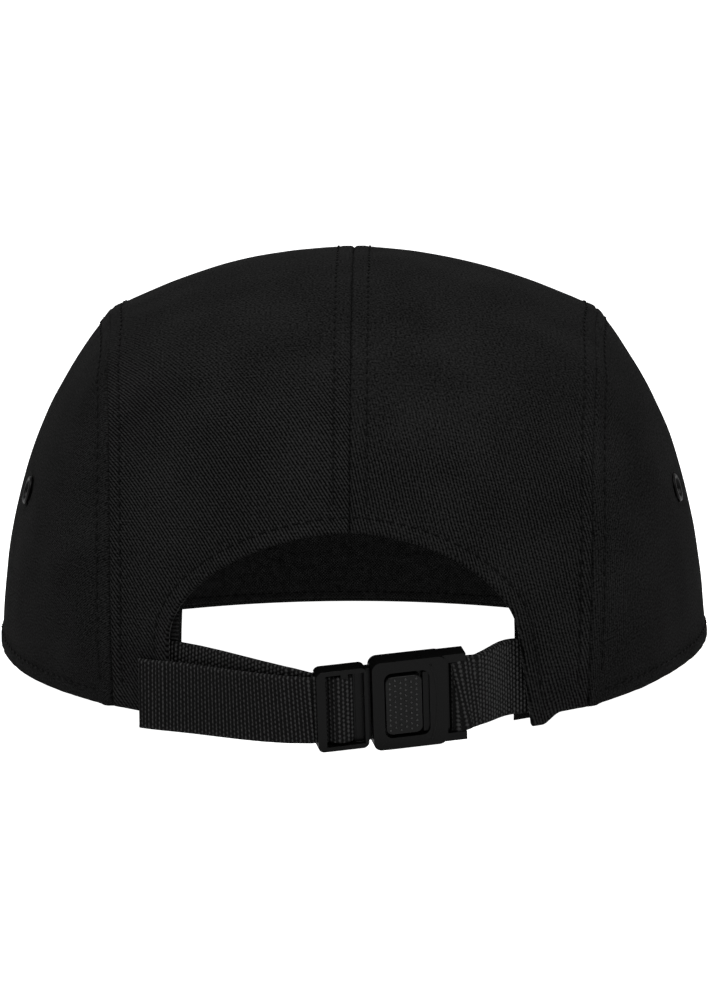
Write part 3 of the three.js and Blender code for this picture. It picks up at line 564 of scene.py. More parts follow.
def twill(name, slope, contrast, period=0.78, fade=(0.08, 0.104), dark="#020202", light="#292929"):
    """Cotton twill, woven in diagonal ribs and garment-washed: a matt black with a fine slant in it, one
    rib every 0.8 mm and a thread every 1 mm along it. The ribs' height is also painted into the colour,
    lighter on their tops and darker in their grooves: painted shade of the ribs, over random tone from fluff
    and patches. slope is the ribs' fall in degrees, seen from behind, and contrast scales the painted rib
    shade. The brushed top of the crown, above the heights in fade, shows mostly fluff."""
    made, tree = new_material(name)
    cloth = add_node(tree, "ShaderNodeUVMap", {"uv_map": "weave"})
    sine, cosine = math.sin(math.radians(slope)), math.cos(math.radians(slope))
    across = add_node(tree, "ShaderNodeVectorMath", DOT, {0: cloth, 1: (sine / period, cosine / period, 0)})
    across = across.outputs["Value"]
    along = add_node(tree, "ShaderNodeVectorMath", DOT, {0: cloth, 1: (-cosine / 0.95, sine / 0.95, 0)})
    along = along.outputs["Value"]
    drift = add_node(tree, "ShaderNodeTexNoise", None, {"Vector": cloth, "Scale": 0.08, "Detail": 2.0})
    across = add_node(tree, MATH, TIMES_ADD, {0: drift, 1: 1.2, 2: across})
    ribs = add_node(tree, MATH, SINE, {0: add_node(tree, MATH, TIMES, {0: across, 1: TURN})})
    steps = add_node(tree, MATH, TIMES_ADD, {0: across, 1: 0.5, 2: along})
    threads = add_node(tree, MATH, SINE, {0: add_node(tree, MATH, TIMES, {0: steps, 1: TURN})})
    woven = add_node(tree, MATH, TIMES_ADD, {0: threads, 1: 0.25, 2: ribs})
    spot = add_node(tree, "ShaderNodeTexCoord").outputs["Object"]
    place = add_node(tree, "ShaderNodeSeparateXYZ", None, {0: spot})
    heights = {"Value": place.outputs["Z"], "From Min": fade[0], "From Max": fade[1]}
    clearness = {"To Min": 1.0, "To Max": 0.12}
    clear = add_node(
        tree, "ShaderNodeMapRange", {"interpolation_type": "SMOOTHSTEP"}, {**heights, **clearness}
    )
    height = add_node(tree, MATH, TIMES, {0: woven, 1: clear})
    fluff = add_node(tree, "ShaderNodeTexNoise", None, {"Vector": cloth, "Scale": 1.7, "Detail": 2.0})
    patches = add_node(tree, "ShaderNodeTexNoise", None, {"Vector": cloth, "Scale": 0.05, "Detail": 3.0})
    # The woven height lightens the rib tops and darkens the grooves in the colour: painted shade of the ribs
    share = add_node(tree, MATH, TIMES_ADD, {0: height, 1: 0.44 * contrast, 2: -0.68})
    share = add_node(tree, MATH, TIMES_ADD, {0: fluff, 1: 1.7, 2: share})
    share = add_node(tree, MATH, TIMES_ADD, {0: patches, 1: 0.4, 2: share})
    colour = add_node(
        tree, "ShaderNodeMix", {"data_type": "RGBA"}, {0: share, 6: linear(dark), 7: linear(light)}
    ).outputs[2]
    close_material(tree, colour, 1.0, height, 0.00012, 0.6, {"Specular IOR Level": 0.04})
    return made


# The contrast given to each twill sets how strong its painted rib shade is
TWILL_LEFT = twill("cotton_twill_back_left", 58, 1.0)
TWILL_RIGHT = twill("cotton_twill_back_right", 76, 0.8, fade=(0.066, 0.096))
TWILL_SIDE = twill("cotton_twill_side", 62, 0.35, 0.66)
TWILL_FRONT = twill("cotton_twill_front", 58, 0.8)
TWILL_BRIM = twill("cotton_twill_brim", 45, 0.8, fade=(0.2, 0.3))
# The wrong side of the same twill, drawn a shade lighter than the outside: painted light inside the crown
TWILL_REVERSE_PAINTED_LIGHT = twill("cotton_twill_reverse_painted_light", 120, 0.5, fade=(0.2, 0.3), dark="#1a1a1a", light="#585858")


def plain_weave(name, pitch, dark, light):
    """Plain-woven cotton tape, flat and dull: threads over and under at the pitch, in millimetres. The
    threads' height is also painted into the colour, lighter where they rise and darker where they dip:
    painted shade of the weave, over random tone from fluff.
    """
    made, tree = new_material(name)
    place = add_node(tree, "ShaderNodeUVMap", {"uv_map": "weave"})
    parts = add_node(tree, "ShaderNodeSeparateXYZ", None, {"Vector": place})
    turns = [add_node(tree, MATH, TIMES, {0: parts.outputs[axis], 1: TURN / pitch}) for axis in "XY"]
    warp, weft = [add_node(tree, MATH, SINE, {0: turned}) for turned in turns]
    height = add_node(tree, MATH, TIMES, {0: warp, 1: weft})
    fluff = add_node(tree, "ShaderNodeTexNoise", None, {"Vector": place, "Scale": 0.5, "Detail": 3.0})
    # The weave's height lightens the raised threads and darkens the dips in the colour: painted shade of the
    # weave
    share = add_node(tree, MATH, TIMES_ADD, {0: height, 1: 0.4, 2: fluff})
    colour = add_node(
        tree, "ShaderNodeMix", {"data_type": "RGBA"}, {0: share, 6: linear(dark), 7: linear(light)}
    ).outputs[2]
    close_material(tree, colour, 1.0, height, 0.0001, 0.4, {"Specular IOR Level": 0.05})
    return made


# The tape's threads are 0.3 mm apart; they are drawn at 0.9 mm, because finer ones don't show
# The tape's head side is drawn lighter than its crown side: painted light on the side seen inside the crown
BAND_HEAD_SIDE_PAINTED_LIGHT = plain_weave("plain_woven_sweatband_painted_light", 0.9, "#1c1c1c", "#565656")
BAND_OUTSIDE = plain_weave("plain_woven_band_outside", 0.9, "#060606", "#222222")


def webbing_cloth():
    """Ribbed nylon webbing: cords every 1.04 mm, each bound by threads every 1.2 mm, staggered from
    cord to cord. The colour is lighter on the threads' tops, a painted glint, and black in the gaps between
    them, painted shade, with specks of random tone. The cords themselves are in the mesh."""
    made, tree = new_material("ribbed_nylon_webbing_painted_light_and_shade")
    place = add_node(tree, "ShaderNodeUVMap", {"uv_map": "weave"})
    parts = add_node(tree, "ShaderNodeSeparateXYZ", None, {"Vector": place})
    ribs = add_node(tree, MATH, TIMES, {0: parts.outputs["X"], 1: TURN / RIB_PITCH})
    ribs = add_node(tree, MATH, SINE, {0: ribs})
    which = add_node(tree, MATH, TIMES, {0: parts.outputs["X"], 1: 1 / RIB_PITCH})
    which = add_node(tree, MATH, {"operation": "FLOOR"}, {0: which})
    which = add_node(tree, MATH, TIMES, {0: which, 1: TURN / 2})
    beads = add_node(tree, MATH, TIMES_ADD, {0: parts.outputs["Y"], 1: TURN / 1.2, 2: which})
    threads = add_node(tree, MATH, SINE, {0: beads})
    height = add_node(tree, MATH, TIMES_ADD, {0: threads, 1: 0.6, 2: ribs})
    speck = add_node(tree, "ShaderNodeTexNoise", None, {"Vector": place, "Scale": 1.3, "Detail": 1.0})
    # Raised threads lighter and gaps black in the colour: painted highlight and painted shade of the ribs
    share = add_node(tree, MATH, TIMES_ADD, {0: height, 1: 0.75, 2: -0.75})
    share = add_node(tree, MATH, TIMES_ADD, {0: speck, 1: 1.5, 2: share})
    colour = add_node(
        tree, "ShaderNodeMix", {"data_type": "RGBA"}, {0: share, 6: linear("#000000"), 7: linear("#363636")}
    ).outputs[2]
    close_material(tree, colour, 0.75, height, 0.00012, 0.7, {"Specular IOR Level": 0.12})
    return made


WEBBING_CLOTH = webbing_cloth()


def moulded(name, colour, roughness, grain, specular):
    """Injection-moulded acetal from a spark-eroded tool: a satin black whose rounded edges catch the
    light. grain is the erosion's, in millimetres."""
    made, tree = new_material(name)
    place = add_node(tree, "ShaderNodeTexCoord").outputs["Object"]
    fine = add_node(tree, "ShaderNodeTexNoise", None, {"Vector": place, "Scale": 1000 / grain, "Detail": 2.0})
    wear = add_node(tree, "ShaderNodeTexNoise", None, {"Vector": place, "Scale": 260.0, "Detail": 3.0})
    rough = add_node(tree, MATH, TIMES_ADD, {0: wear, 1: 0.2, 2: roughness - 0.1})
    close_material(tree, linear(colour), rough, fine, 0.00003, 0.35, {"Specular IOR Level": specular})
    return made


PLASTIC = moulded("satin_acetal", "#050505", 0.3, 0.35, 0.12)
BUTTON_PLASTIC = moulded("button_acetal", "#0e0e0e", 0.3, 0.4, 0.14)
DOT_PLASTIC = moulded("polished_acetal", "#0e0e0e", 0.2, 0.4, 0.45)


def thread(name, colour):
    """Twisted polyester sewing thread: fine rounded cords with a slight shine."""
    made, tree = new_material(name)
    place = add_node(tree, "ShaderNodeTexCoord").outputs["Object"]
    twist = add_node(tree, "ShaderNodeTexNoise", None, {"Vector": place, "Scale": 2600.0, "Detail": 1.0})
    close_material(tree, linear(colour), 0.8, twist, 0.00005, 0.5, {"Specular IOR Level": 0.12})
    return made


# The thread is black and drawn darker than the cloth, so that it also carries the painted shade of the stitch
# lines
THREAD = thread("polyester_thread_and_seam_shade", "#010101")
LIGHT_THREAD = thread("polyester_overlock_thread", "#2a2a2a")


def lacquered_brass():
    """Black lacquer on a rolled brass ring: a dark metal with a soft, slightly worn shine."""
    made, tree = new_material("black_lacquered_brass")
    place = add_node(tree, "ShaderNodeTexCoord").outputs["Object"]
    wear = add_node(tree, "ShaderNodeTexNoise", None, {"Vector": place, "Scale": 900.0, "Detail": 4.0})
    rough = add_node(tree, MATH, TIMES_ADD, {0: wear, 1: 0.3, 2: 0.22})
    coat = {"Coat Weight": 0.04, "Coat Roughness": 0.2, "Specular IOR Level": 0.1}
    close_material(tree, linear("#080808"), rough, wear, 0.00002, 0.3, coat)
    return made


LACQUER = lacquered_brass()


def seam_relief(distance, along, stitch):
    """A pressed-open seam: the allowance under the cloth as far as its row of stitches, which dips."""
    allowance = 0.34 * smooth(distance / 0.8) * (1 - smooth((distance - stitch - 0.2) / 1.3))
    dip = 0.3 * bump(distance, stitch, 0.8)
    tug = 0.05 * math.cos(2 * math.pi * along / STITCH_PITCH) * bump(distance, stitch, 1.0)
    pucker = 0.22 * noise.noise(Vector((along / 4.5, distance / 14, stitch))) * bump(distance, stitch, 5.5)
    return allowance - dip + tug + pucker


def hem_relief(distance, along):
    """A turned hem: double cloth as far as its row of stitches."""
    fold = 0.5 * (1 - smooth((distance - HEM_STITCH - 0.1) / 1.0))
    dip = 0.36 * bump(distance, HEM_STITCH, 0.8)
    pucker = 0.3 * noise.noise(Vector((along / 3.6, distance / 10, 7.0))) * bump(distance, 2.5, 4.0)
    return fold - dip + pucker


def soft_waves(point):
    """The slight unevenness of soft cloth with nothing under it."""
    return 0.35 * noise.noise(point / 26) + 0.12 * noise.noise(point / 9)


def strip_relief(point, lines):
    """A panel's height over its plain shape. Each line is a seam, with its stitches' distance from it, or
    a hem, with None."""
    height = soft_waves(point)
    for line, stitch in lines:
        distance, along = line.measure(point)
        if distance < 16:
            height += hem_relief(distance, along) if stitch is None else seam_relief(distance, along, stitch)
    return height


def strip_weave(across, s):
    return (across * curve_point(SEAM_LINE, s).x, arc_of(s))


def settle(piece, finish, slot, *nodes, inside=None):
    """Gives a piece its finishes and its body, and hides the CAD nodes that it stands for; slot is not used.
    """
    piece.data.materials.append(finish)
    if inside:
        piece.data.materials.append(inside)
    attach(piece, "root")
    if nodes:
        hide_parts(*nodes)


FRONT_RIM = Line([strip_point(0, a) for a in [between(-1, 1, t) for t in evenly(240)]])
SIDE_RIM_LINES = {side: Line([side_rim_point(s, side) for s in evenly(300)]) for side in (1, -1)}
FRONT_LINES = [
    (SIDE_SEAMS[1], SEAM_STITCH),
    (SIDE_SEAMS[-1], SEAM_STITCH),
    (CROSS_LINE, SEAM_STITCH),
    (FRONT_RIM, None),
]
BACK_LINES = {
    side: [
        (SIDE_SEAMS[side], SEAM_STITCH),
        (CENTRE_SEAM, CENTRE_STITCH),
        (CROSS_LINE, SEAM_STITCH),
        (ARCH_LINES[side], None),
    ]
    for side in (1, -1)
}
SIDE_LINES = {side: [(SIDE_SEAMS[side], SEAM_STITCH), (SIDE_RIM_LINES[side], None)] for side in (1, -1)}


def relief_by(lines):
    """A panel's relief, made by its seams and hems."""
    return lambda u, v, point: strip_relief(point, lines)


def front_point(u, v):
    return strip_point(v * CROSS_SEAM, between(-1, 1, u))


front = cloth_body(
    "front_panel_cloth",
    graded(136, 1.3),
    graded(118, 1.3),
    front_point,
    CLOTH,
    ROUNDING,
    relief_by(FRONT_LINES),
    lambda u, v, p: strip_weave(between(-1, 1, u), v * CROSS_SEAM),
    lip=PANEL_LIP,
    panel=True,
)
settle(front, TWILL_FRONT, "twill", "front_panel", inside=TWILL_REVERSE_PAINTED_LIGHT)

for side, word, cloth in ((1, "left", TWILL_LEFT), (-1, "right", TWILL_RIGHT)):
    panel = cloth_body(
        f"back_panel_{word}_cloth",
        sorted({*graded(84, 0.9), CORNER_COLUMN}),
        graded(110, 0.95),
        lambda u, v, side=side: back_point(u, v, side),
        CLOTH,
        ROUNDING,
        relief_by(BACK_LINES[side]),
        lambda u, v, p, side=side: strip_weave(side * back_share(u, v, side)[0], back_share(u, v, side)[1]),
        lip=PANEL_LIP,
        panel=True,
    )
    settle(panel, cloth, "twill", f"back_panel_{word}", inside=TWILL_REVERSE_PAINTED_LIGHT)


SIDE_LENGTH = 215


def side_rise(s, side):
    """A side panel's height from its rim to its seam, in millimetres."""
    seam = curve_point(SEAM_LINE, s)
    seam.x *= side
    return (seam - side_rim_point(s, side)).length


for side, word in ((1, "left"), (-1, "right")):
    panel = cloth_body(
        f"side_panel_{word}_cloth",
        graded(SIDE_LENGTH, 1.3),
        graded(96, 1.1),
        lambda u, v, side=side: side_point(u, v, side),
        CLOTH,
        ROUNDING,
        relief_by(SIDE_LINES[side]),
        lambda u, v, p, side=side: (-side * u * SIDE_LENGTH, v * side_rise(u, side)),
        lip=PANEL_LIP,
        panel=True,
        hole=(TO_METRES @ EYELETS[side].translation, EYELET_HOLE),
        steady=11,
    )
    settle(panel, TWILL_SIDE, "twill", f"side_panel_{word}", inside=TWILL_REVERSE_PAINTED_LIGHT)


def crown_tree():
    """The crown's smooth outside, for finding where lines meet it."""
    corners, faces = [], []
    patches = [(lambda u, v: strip_point(u, between(-1, 1, v)), 110, 60)]
    patches += [(lambda u, v, side=side: side_point(u, v, side), 110, 40) for side in (1, -1)]
    for place, wide, high in patches:
        first = len(corners)
        corners += [place(u, v) for u in evenly(wide) for v in evenly(high)]
        for i in range(wide):
            for j in range(high):
                a = first + i * (high + 1) + j
                faces.append((a, a + 1, a + high + 2, a + high + 1))
    return bvhtree.BVHTree.FromPolygons(corners, faces)


CROWN_TREE = crown_tree()


def meet_crown(start, direction):
    place, normal, _, _ = CROWN_TREE.ray_cast(Vector(start), Vector(direction).normalized())
    return place, normal if normal.dot(Vector(direction)) > 0 else -normal


def rim_at_turn(turn):
    """The point of the rim at a turn in degrees from the front, left turns positive."""
    side = -1 if turn < 0 else 1
    low, high = 0.0, 3.0
    for _ in range(26):
        share = (low + high) / 2
        if share < 1:
            point = strip_point(0, side * share)
        elif share < 2:
            point = side_rim_point(share - 1, side)
        else:
            point = strip_point(1, side * (3 - share))
        if math.atan2(abs(point.x), -point.y) < math.radians(abs(turn)):
            low = share
        else:
            high = share
    return point


def band_point(share, up):
    """The sweatband's outer face: it keeps off the crown, and off the straps' ends between them."""
    layer = WEBBING + STRAP_PLAY
    turn = between(-BAND_RIGHT, BAND_LEFT, share)
    left = smooth(1 + (BAND_FULL_TURN - BAND_LEFT + turn) / BAND_FADE_TURN)
    right = smooth(1 + (BAND_FULL_TURN - BAND_RIGHT - turn) / BAND_FADE_TURN)
    height = rim_at_turn(turn).z + BAND_HEM + up * BAND_HEIGHT
    heading = (math.sin(math.radians(turn)), -math.cos(math.radians(turn)), 0)
    place, normal = meet_crown((0, 0, height), heading)
    return place - normal * (BAND_INSET + layer * left + 2 * layer * right)


def turn_at(x, inset):
    """The turn from the front, in degrees, of a place across the arch that lies inside the crown."""
    place, normal = meet_crown((x, 0, ARCH_SPRING), (0, 1, 0))
    return 180 - math.degrees(math.atan2(abs(x), place.y - normal.y * inset))


# The sweatband's ends show in the arch, 2.6 mm past its left edge and 0.5 mm past its right one
BAND_LEFT = turn_at(ARCH_HALF[1] - 2.6, 3.5)
BAND_RIGHT = turn_at(0.5 - ARCH_HALF[-1], 5.0)
BAND_LINE = Line([band_point(share, 0) for share in evenly(400)])


def band_relief(u, v, point):
    distance, _ = BAND_LINE.measure(point)
    return 0.25 * noise.noise(point / 14) - 0.12 * bump(distance, BAND_STITCH, 0.5)


band = cloth_body(
    "sweatband_tape",
    evenly(320),
    graded(BAND_HEIGHT, 1.2),
    band_point,
    BAND_THICKNESS,
    ROUNDING,
    band_relief,
    lambda u, v, p: (u * BAND_LINE.along[-1], v * BAND_HEIGHT),
    both=True,
)
# Faces towards the head take the lighter copy of the tape, with painted light; faces towards the crown take
# the darker one
for face in band.data.polygons:
    inwards = Vector((-face.center.x, CROWN_SHIFT / 1000 - face.center.y, 0))
    face.material_index = 1 if face.normal.dot(inwards) > 0 else 0
settle(band, BAND_OUTSIDE, "sweatband_cloth", "sweatband", inside=BAND_HEAD_SIDE_PAINTED_LIGHT)

BRIM_EDGE = [
    Vector((side * BRIM_HALF_WIDTH * sign, -RIM_HALF_LENGTH - forward * BRIM_LENGTH, height * CROWN_HEIGHT))
    for side, forward, height, sign in [
        *[(*row, -1) for row in reversed(BRIM_ROWS[1:])],
        *[(*row, 1) for row in BRIM_ROWS],
    ]
]


def brim_point(share, out):
    """The top of the brim, from the crown (out 0) to its edge (out 1)."""
    turn = between(-BRIM_CORNER_TURN, BRIM_CORNER_TURN, share)
    under = rim_at_turn(turn).z - BRIM_DROP
    heading = (math.sin(math.radians(turn)), -math.cos(math.radians(turn)), 0)
    place, normal = meet_crown((0, 0, under + BRIM_THICKNESS), heading)
    normal.z = 0
    attached = place + normal.normalized() * 0.6
    attached.z = under
    point = attached.lerp(curve_point(BRIM_EDGE, share), out)
    point.z = max(point.z, 0) + BRIM_THICKNESS
    return point


BRIM_OUTER = Line([brim_point(share, 1) for share in evenly(400)])


def brim_relief(u, v, point):
    distance, _ = BRIM_OUTER.measure(point)
    row = min(max(round((distance - BRIM_FIRST_ROW) / BRIM_ROW_GAP), 0), BRIM_STITCH_ROWS - 1)
    return 0.1 * noise.noise(point / 18) - 0.16 * bump(distance, BRIM_FIRST_ROW + row * BRIM_ROW_GAP, 0.7)


peak = cloth_body(
    "brim_cloth",
    graded(210, 1.3),
    graded(66, 0.9),
    brim_point,
    BRIM_THICKNESS,
    1.5,
    brim_relief,
    lambda u, v, p: (p.x, p.y),
    normal=(0, 0, 1),
)
settle(peak, TWILL_BRIM, "twill", "brim")


def smoothed_route(route, spacing, width):
    """Places and up directions along a route at an even spacing, with its corners eased."""
    places = np.array([p for p, _ in route])
    ups = np.array([u for _, u in route])
    along = np.concatenate([[0], np.cumsum(np.linalg.norm(np.diff(places, axis=0), axis=1))])
    count = round(along[-1] / spacing)
    even = np.linspace(0, along[-1], count + 1)
    columns = [np.interp(even, along, axis) for axis in (*places.T, *ups.T)]
    reach = round(width / spacing * 2)
    weights = np.exp(-((np.arange(-reach, reach + 1) * spacing / width) ** 2))
    weights /= weights.sum()
    eased = []
    for column in columns:
        before = 2 * column[0] - column[1 : reach + 1][::-1]
        after = 2 * column[-1] - column[-reach - 1 : -1][::-1]
        eased.append(np.convolve(np.concatenate([before, column, after]), weights, "valid"))
    return np.array(eased[:3]).T, np.array(eased[3:]).T, along[-1]


def strap_face(route, width):
    """The steps along a strap, its length, and its outer face: a place and the way out, by share."""
    places, ups, length = smoothed_route(route, RIB_PITCH / 4, 0.55)
    runs = np.gradient(places, axis=0)
    runs /= np.linalg.norm(runs, axis=1)[:, None]
    outs = np.cross(runs, ups)
    outs /= np.linalg.norm(outs, axis=1)[:, None]
    across = np.cross(outs, runs)
    last = len(places) - 1

    def face(u, v):
        i = round(u * last)
        side = across[i] * (v - 0.5) * width
        return Vector(places[i] + side + outs[i] * WEBBING / 2), Vector(outs[i])

    return last, length, face


def strap(name, route, width, folded_end):
    """Ribbed webbing along a route; a folded end is double as far as TAIL_FOLD."""
    last, length, face = strap_face(route, width)

    def relief(u, v, point):
        along = u * length
        ribs = 0.12 * math.cos(TURN * along / RIB_PITCH)
        selvedge = 1 - smooth((abs(v - 0.5) * width - width / 2 + 1.1) / 0.6)
        fold = 0.0
        if folded_end:
            back = length - along
            fold = 0.32 * smooth(back / 0.8) * (1 - smooth((back - TAIL_FOLD) / 0.7))
            fold -= 0.2 * bump(back, TAIL_STITCH, 0.5)
        return ribs * selvedge + fold

    rows = [f / width for f in (0, 0.06, 0.2, 0.45, 0.8, 1.4, 2.4, 3.8, 5.4, 7.1)]
    rows += [0.5] + [1 - row for row in reversed(rows)]
    return cloth_body(
        name,
        evenly(last),
        rows,
        lambda u, v: face(u, v)[0],
        WEBBING,
        0.5,
        relief,
        lambda u, v, p: (u * length, v * width),
        turn=1,
        both=True,
    )


for name, route, width, folded_end, node in (
    ("adjustable_strap", ADJUSTABLE_ROUTE, ADJUSTABLE_WIDTH, True, "strap_left"),
    ("fixed_strap", FIXED_ROUTE, FIXED_WIDTH, False, "strap_right"),
):
    settle(strap(name, route, width, folded_end), WEBBING_CLOTH, "webbing", node)


TO_BUCKLE = TO_METRES @ BUCKLE


def blocks(bm, start, boxes):
    """Adds boxes to a bmesh, each by its low and high place along the moulding from its start, up the
    buckle, and out of its face."""
    for (left, right), *others in boxes:
        sizes = [(start + left, start + right), *others]
        middle = Matrix.Translation([(low + high) / 2 for low, high in sizes])
        stretch = Matrix.Diagonal([*[high - low for low, high in sizes], 1])
        bmesh.ops.create_cube(bm, size=1, matrix=TO_BUCKLE @ middle @ stretch)


def moulding_from(node, name, edge_radius, start=0, boxes=()):
    """The solid's own shape, and thin walls that it has room for, with edges rounded as a moulding's."""
    bm = bmesh.new()
    bm.from_mesh(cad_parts[node].data)
    bmesh.ops.remove_doubles(bm, verts=bm.verts, dist=2e-6)
    blocks(bm, start, boxes)
    bmesh.ops.dissolve_limit(bm, angle_limit=math.radians(1), verts=bm.verts, edges=bm.edges)
    sharp = [e for e in bm.edges if len(e.link_faces) == 2 and e.calc_face_angle(0) > math.radians(35)]
    bmesh.ops.bevel(
        bm,
        geom=sharp,
        offset=edge_radius / 1000,
        offset_type="OFFSET",
        segments=3,
        profile=0.5,
        affect="EDGES",
        clamp_overlap=True,
        material=-1,
    )
    piece = finished(name, bm)
    harden = piece.modifiers.new("flat_faces", "WEIGHTED_NORMAL")
    harden.keep_sharp = True
    return piece


ADJUSTER_WALLS = [
    ((9.55, 10.3), (-9.6, 9.6), (-2.25, 0.5)),
    ((12.9, 14.0), (-9.4, 10.0), (-1.9, 0.9)),
    ((6.2, 8.1), (8.55, 9.8), (1.75, 2.25)),
]
HOUSING_WALLS = [
    ((18.9, 20.05), (-9.7, 9.7), (-2.7, 0.6)),
    ((18.9, 21.2), (-9.7, 9.7), (-2.75, -2.05)),
    ((17.5, 24.2), (9.6, 11.75), (-2.75, 2.0)),
    ((17.5, 24.2), (-11.75, -9.6), (-2.75, 2.0)),
    ((13.0, 14.7), (-8.0, 8.0), (0.4, 2.2)),
]
for word, radius, start, walls, finish in (
    ("adjuster", 0.25, ADJUSTER_START, ADJUSTER_WALLS, PLASTIC),
    ("housing", 0.33, HOUSING_START, HOUSING_WALLS, PLASTIC),
    ("button", 0.3, 0, (), BUTTON_PLASTIC),
):
    moulding = moulding_from(f"buckle_{word}", f"{word}_moulding", radius, start, walls)
    settle(moulding, finish, "plastic", f"buckle_{word}")

# The low ridge that bows across the housing's face, beside the recess
RIDGE_RADIUS = 0.28
RIDGE_LENGTH = 20.6
ridge_bm = bmesh.new()
bmesh.ops.create_cone(
    ridge_bm,
    cap_ends=True,
    segments=10,
    radius1=RIDGE_RADIUS,
    radius2=RIDGE_RADIUS,
    depth=RIDGE_LENGTH,
    matrix=Matrix.Rotation(math.pi / 2, 4, "X"),
)
along_ridge = [edge for edge in ridge_bm.edges if abs(edge.verts[0].co.y - edge.verts[1].co.y) > 1]
bmesh.ops.subdivide_edges(ridge_bm, edges=along_ridge, cuts=24, use_grid_fill=False)
for vert in ridge_bm.verts:
    vert.co.x += HOUSING_START + 14.9 + 1.7 * (1 - (vert.co.y / (RIDGE_LENGTH / 2)) ** 2)
    vert.co.z = 2.78 + vert.co.z * 0.5
bmesh.ops.transform(ridge_bm, matrix=TO_BUCKLE, verts=ridge_bm.verts)
settle(finished("housing_ridge", ridge_bm), PLASTIC, "plastic")

# The button's grip: staggered dots of uneven height
BUTTON_FACE = 3.1
DOT_RADIUS = 0.36
DOT_COLUMN_GAP = 1.36
DOT_ROW_GAP = 1.42
DOTS_REACH = 7.0
dots_bm = bmesh.new()
for row in range(10):
    for column in range(6):
        x = HOUSING_START + 4.35 + column * DOT_COLUMN_GAP
        y = -6.6 + row * DOT_ROW_GAP + (DOT_ROW_GAP / 2 if column % 2 else 0)
        if abs(y) > DOTS_REACH:
            continue
        swell = Matrix.Diagonal((DOT_RADIUS, DOT_RADIUS, random.uniform(0.16, 0.34), 1))
        spot = Matrix.Translation((x, y, BUTTON_FACE)) @ swell
        bmesh.ops.create_uvsphere(dots_bm, u_segments=8, v_segments=6, radius=1, matrix=spot)
bmesh.ops.transform(dots_bm, matrix=TO_BUCKLE, verts=dots_bm.verts)
settle(finished("button_grip_dots", dots_bm), DOT_PLASTIC, "plastic")

# An eyelet's section, (radius, height): the bore, the rolled edge, the neck and the washer inside
ROLL = [math.pi * (1 - k / 8) for k in range(1, 9)]
EYELET_SECTION = [
    (2.5, -1.85),
    (2.5, 0.62),
    *[(3.12 + 0.62 * math.cos(a), 0.55 + 0.42 * math.sin(a)) for a in ROLL],
    *[(3.74, 0.45), (3.1, 0.45), (3.1, -1.85), (4.4, -1.85), (4.4, -2.35), (2.1, -2.35), (2.1, -1.85)],
]
for side, word in ((1, "left"), (-1, "right")):
    ring_bm = bmesh.new()
    verts = [ring_bm.verts.new((radius, 0, height)) for radius, height in EYELET_SECTION]
    edges = [ring_bm.edges.new((a, b)) for a, b in zip(verts, verts[1:] + verts[:1])]
    bmesh.ops.spin(
        ring_bm,
        geom=verts + edges,
        cent=(0, 0, 0),
        axis=(0, 0, 1),
        angle=2 * math.pi,
        steps=40,
        use_merge=True,
        use_duplicate=False,
    )
    bmesh.ops.recalc_face_normals(ring_bm, faces=ring_bm.faces)
    bmesh.ops.transform(ring_bm, matrix=TO_METRES @ EYELETS[side], verts=ring_bm.verts)
    settle(finished(f"eyelet_{word}", ring_bm), LACQUER, "eyelet_metal", f"eyelet_ring_{word}")
    mesh_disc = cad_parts[f"eyelet_mesh_{word}"]
    mesh_disc.data.materials.clear()
    mesh_disc.data.materials.append(LACQUER)

stitch_bm = bmesh.new()
bmesh.ops.create_uvsphere(stitch_bm, u_segments=6, v_segments=5, radius=0.5)
STITCH = bpy.data.meshes.new("stitch")
stitch_bm.to_mesh(STITCH)
stitch_bm.free()


def sew(
    name,
    rows,
    slot,
    pitch=STITCH_PITCH,
    length=2.1,
    width=0.55,
    height=0.5,
    sunk=-0.14,
    slant=0.0,
    finish=THREAD,
):
    """Stitches at a pitch along rows, each a list of (place, out) in millimetres."""
    bm = bmesh.new()
    for row in rows:
        reach = [0.0]
        for (a, _), (b, _) in zip(row, row[1:]):
            reach.append(reach[-1] + (b - a).length)
        count = int(reach[-1] / pitch)
        for k in range(count):
            middle = (k + 0.5) * pitch
            i = max(int(np.searchsorted(reach, middle)), 1)
            (a, out), (b, _) = row[i - 1], row[i]
            place = a.lerp(b, (middle - reach[i - 1]) / max(reach[i] - reach[i - 1], 1e-9))
            run = (b - a).normalized()
            run.rotate(Quaternion(out, slant + random.uniform(-0.035, 0.035)))
            side = out.cross(run).normalized()
            stretch = Matrix.Diagonal((length * random.uniform(0.93, 1.03), width, height, 1))
            turn = Matrix((run, side, out)).transposed().to_4x4()
            spot = TO_METRES @ Matrix.Translation(place - out * sunk) @ turn @ stretch
            STITCH.transform(spot)
            bm.from_mesh(STITCH)
            STITCH.transform(spot.inverted())
    settle(finished(name, bm), finish, slot)


def out_of(place, u, v, upwards=False):
    """The crown's outward direction, or the brim's upward one, at a piece's shares."""
    step = 0.002
    here = place(u, v)
    du = place(u + step, v) - here if u < 0.5 else here - place(u - step, v)
    dv = place(u, v + step) - here if v < 0.5 else here - place(u, v - step)
    out = du.cross(dv).normalized()
    towards = Vector((0, 0, 1)) if upwards else here - Vector(CROWN_MIDDLE)
    return out if out.dot(towards) > 0 else -out


ROW_POINTS = 150
SEARCH_STEPS = 80


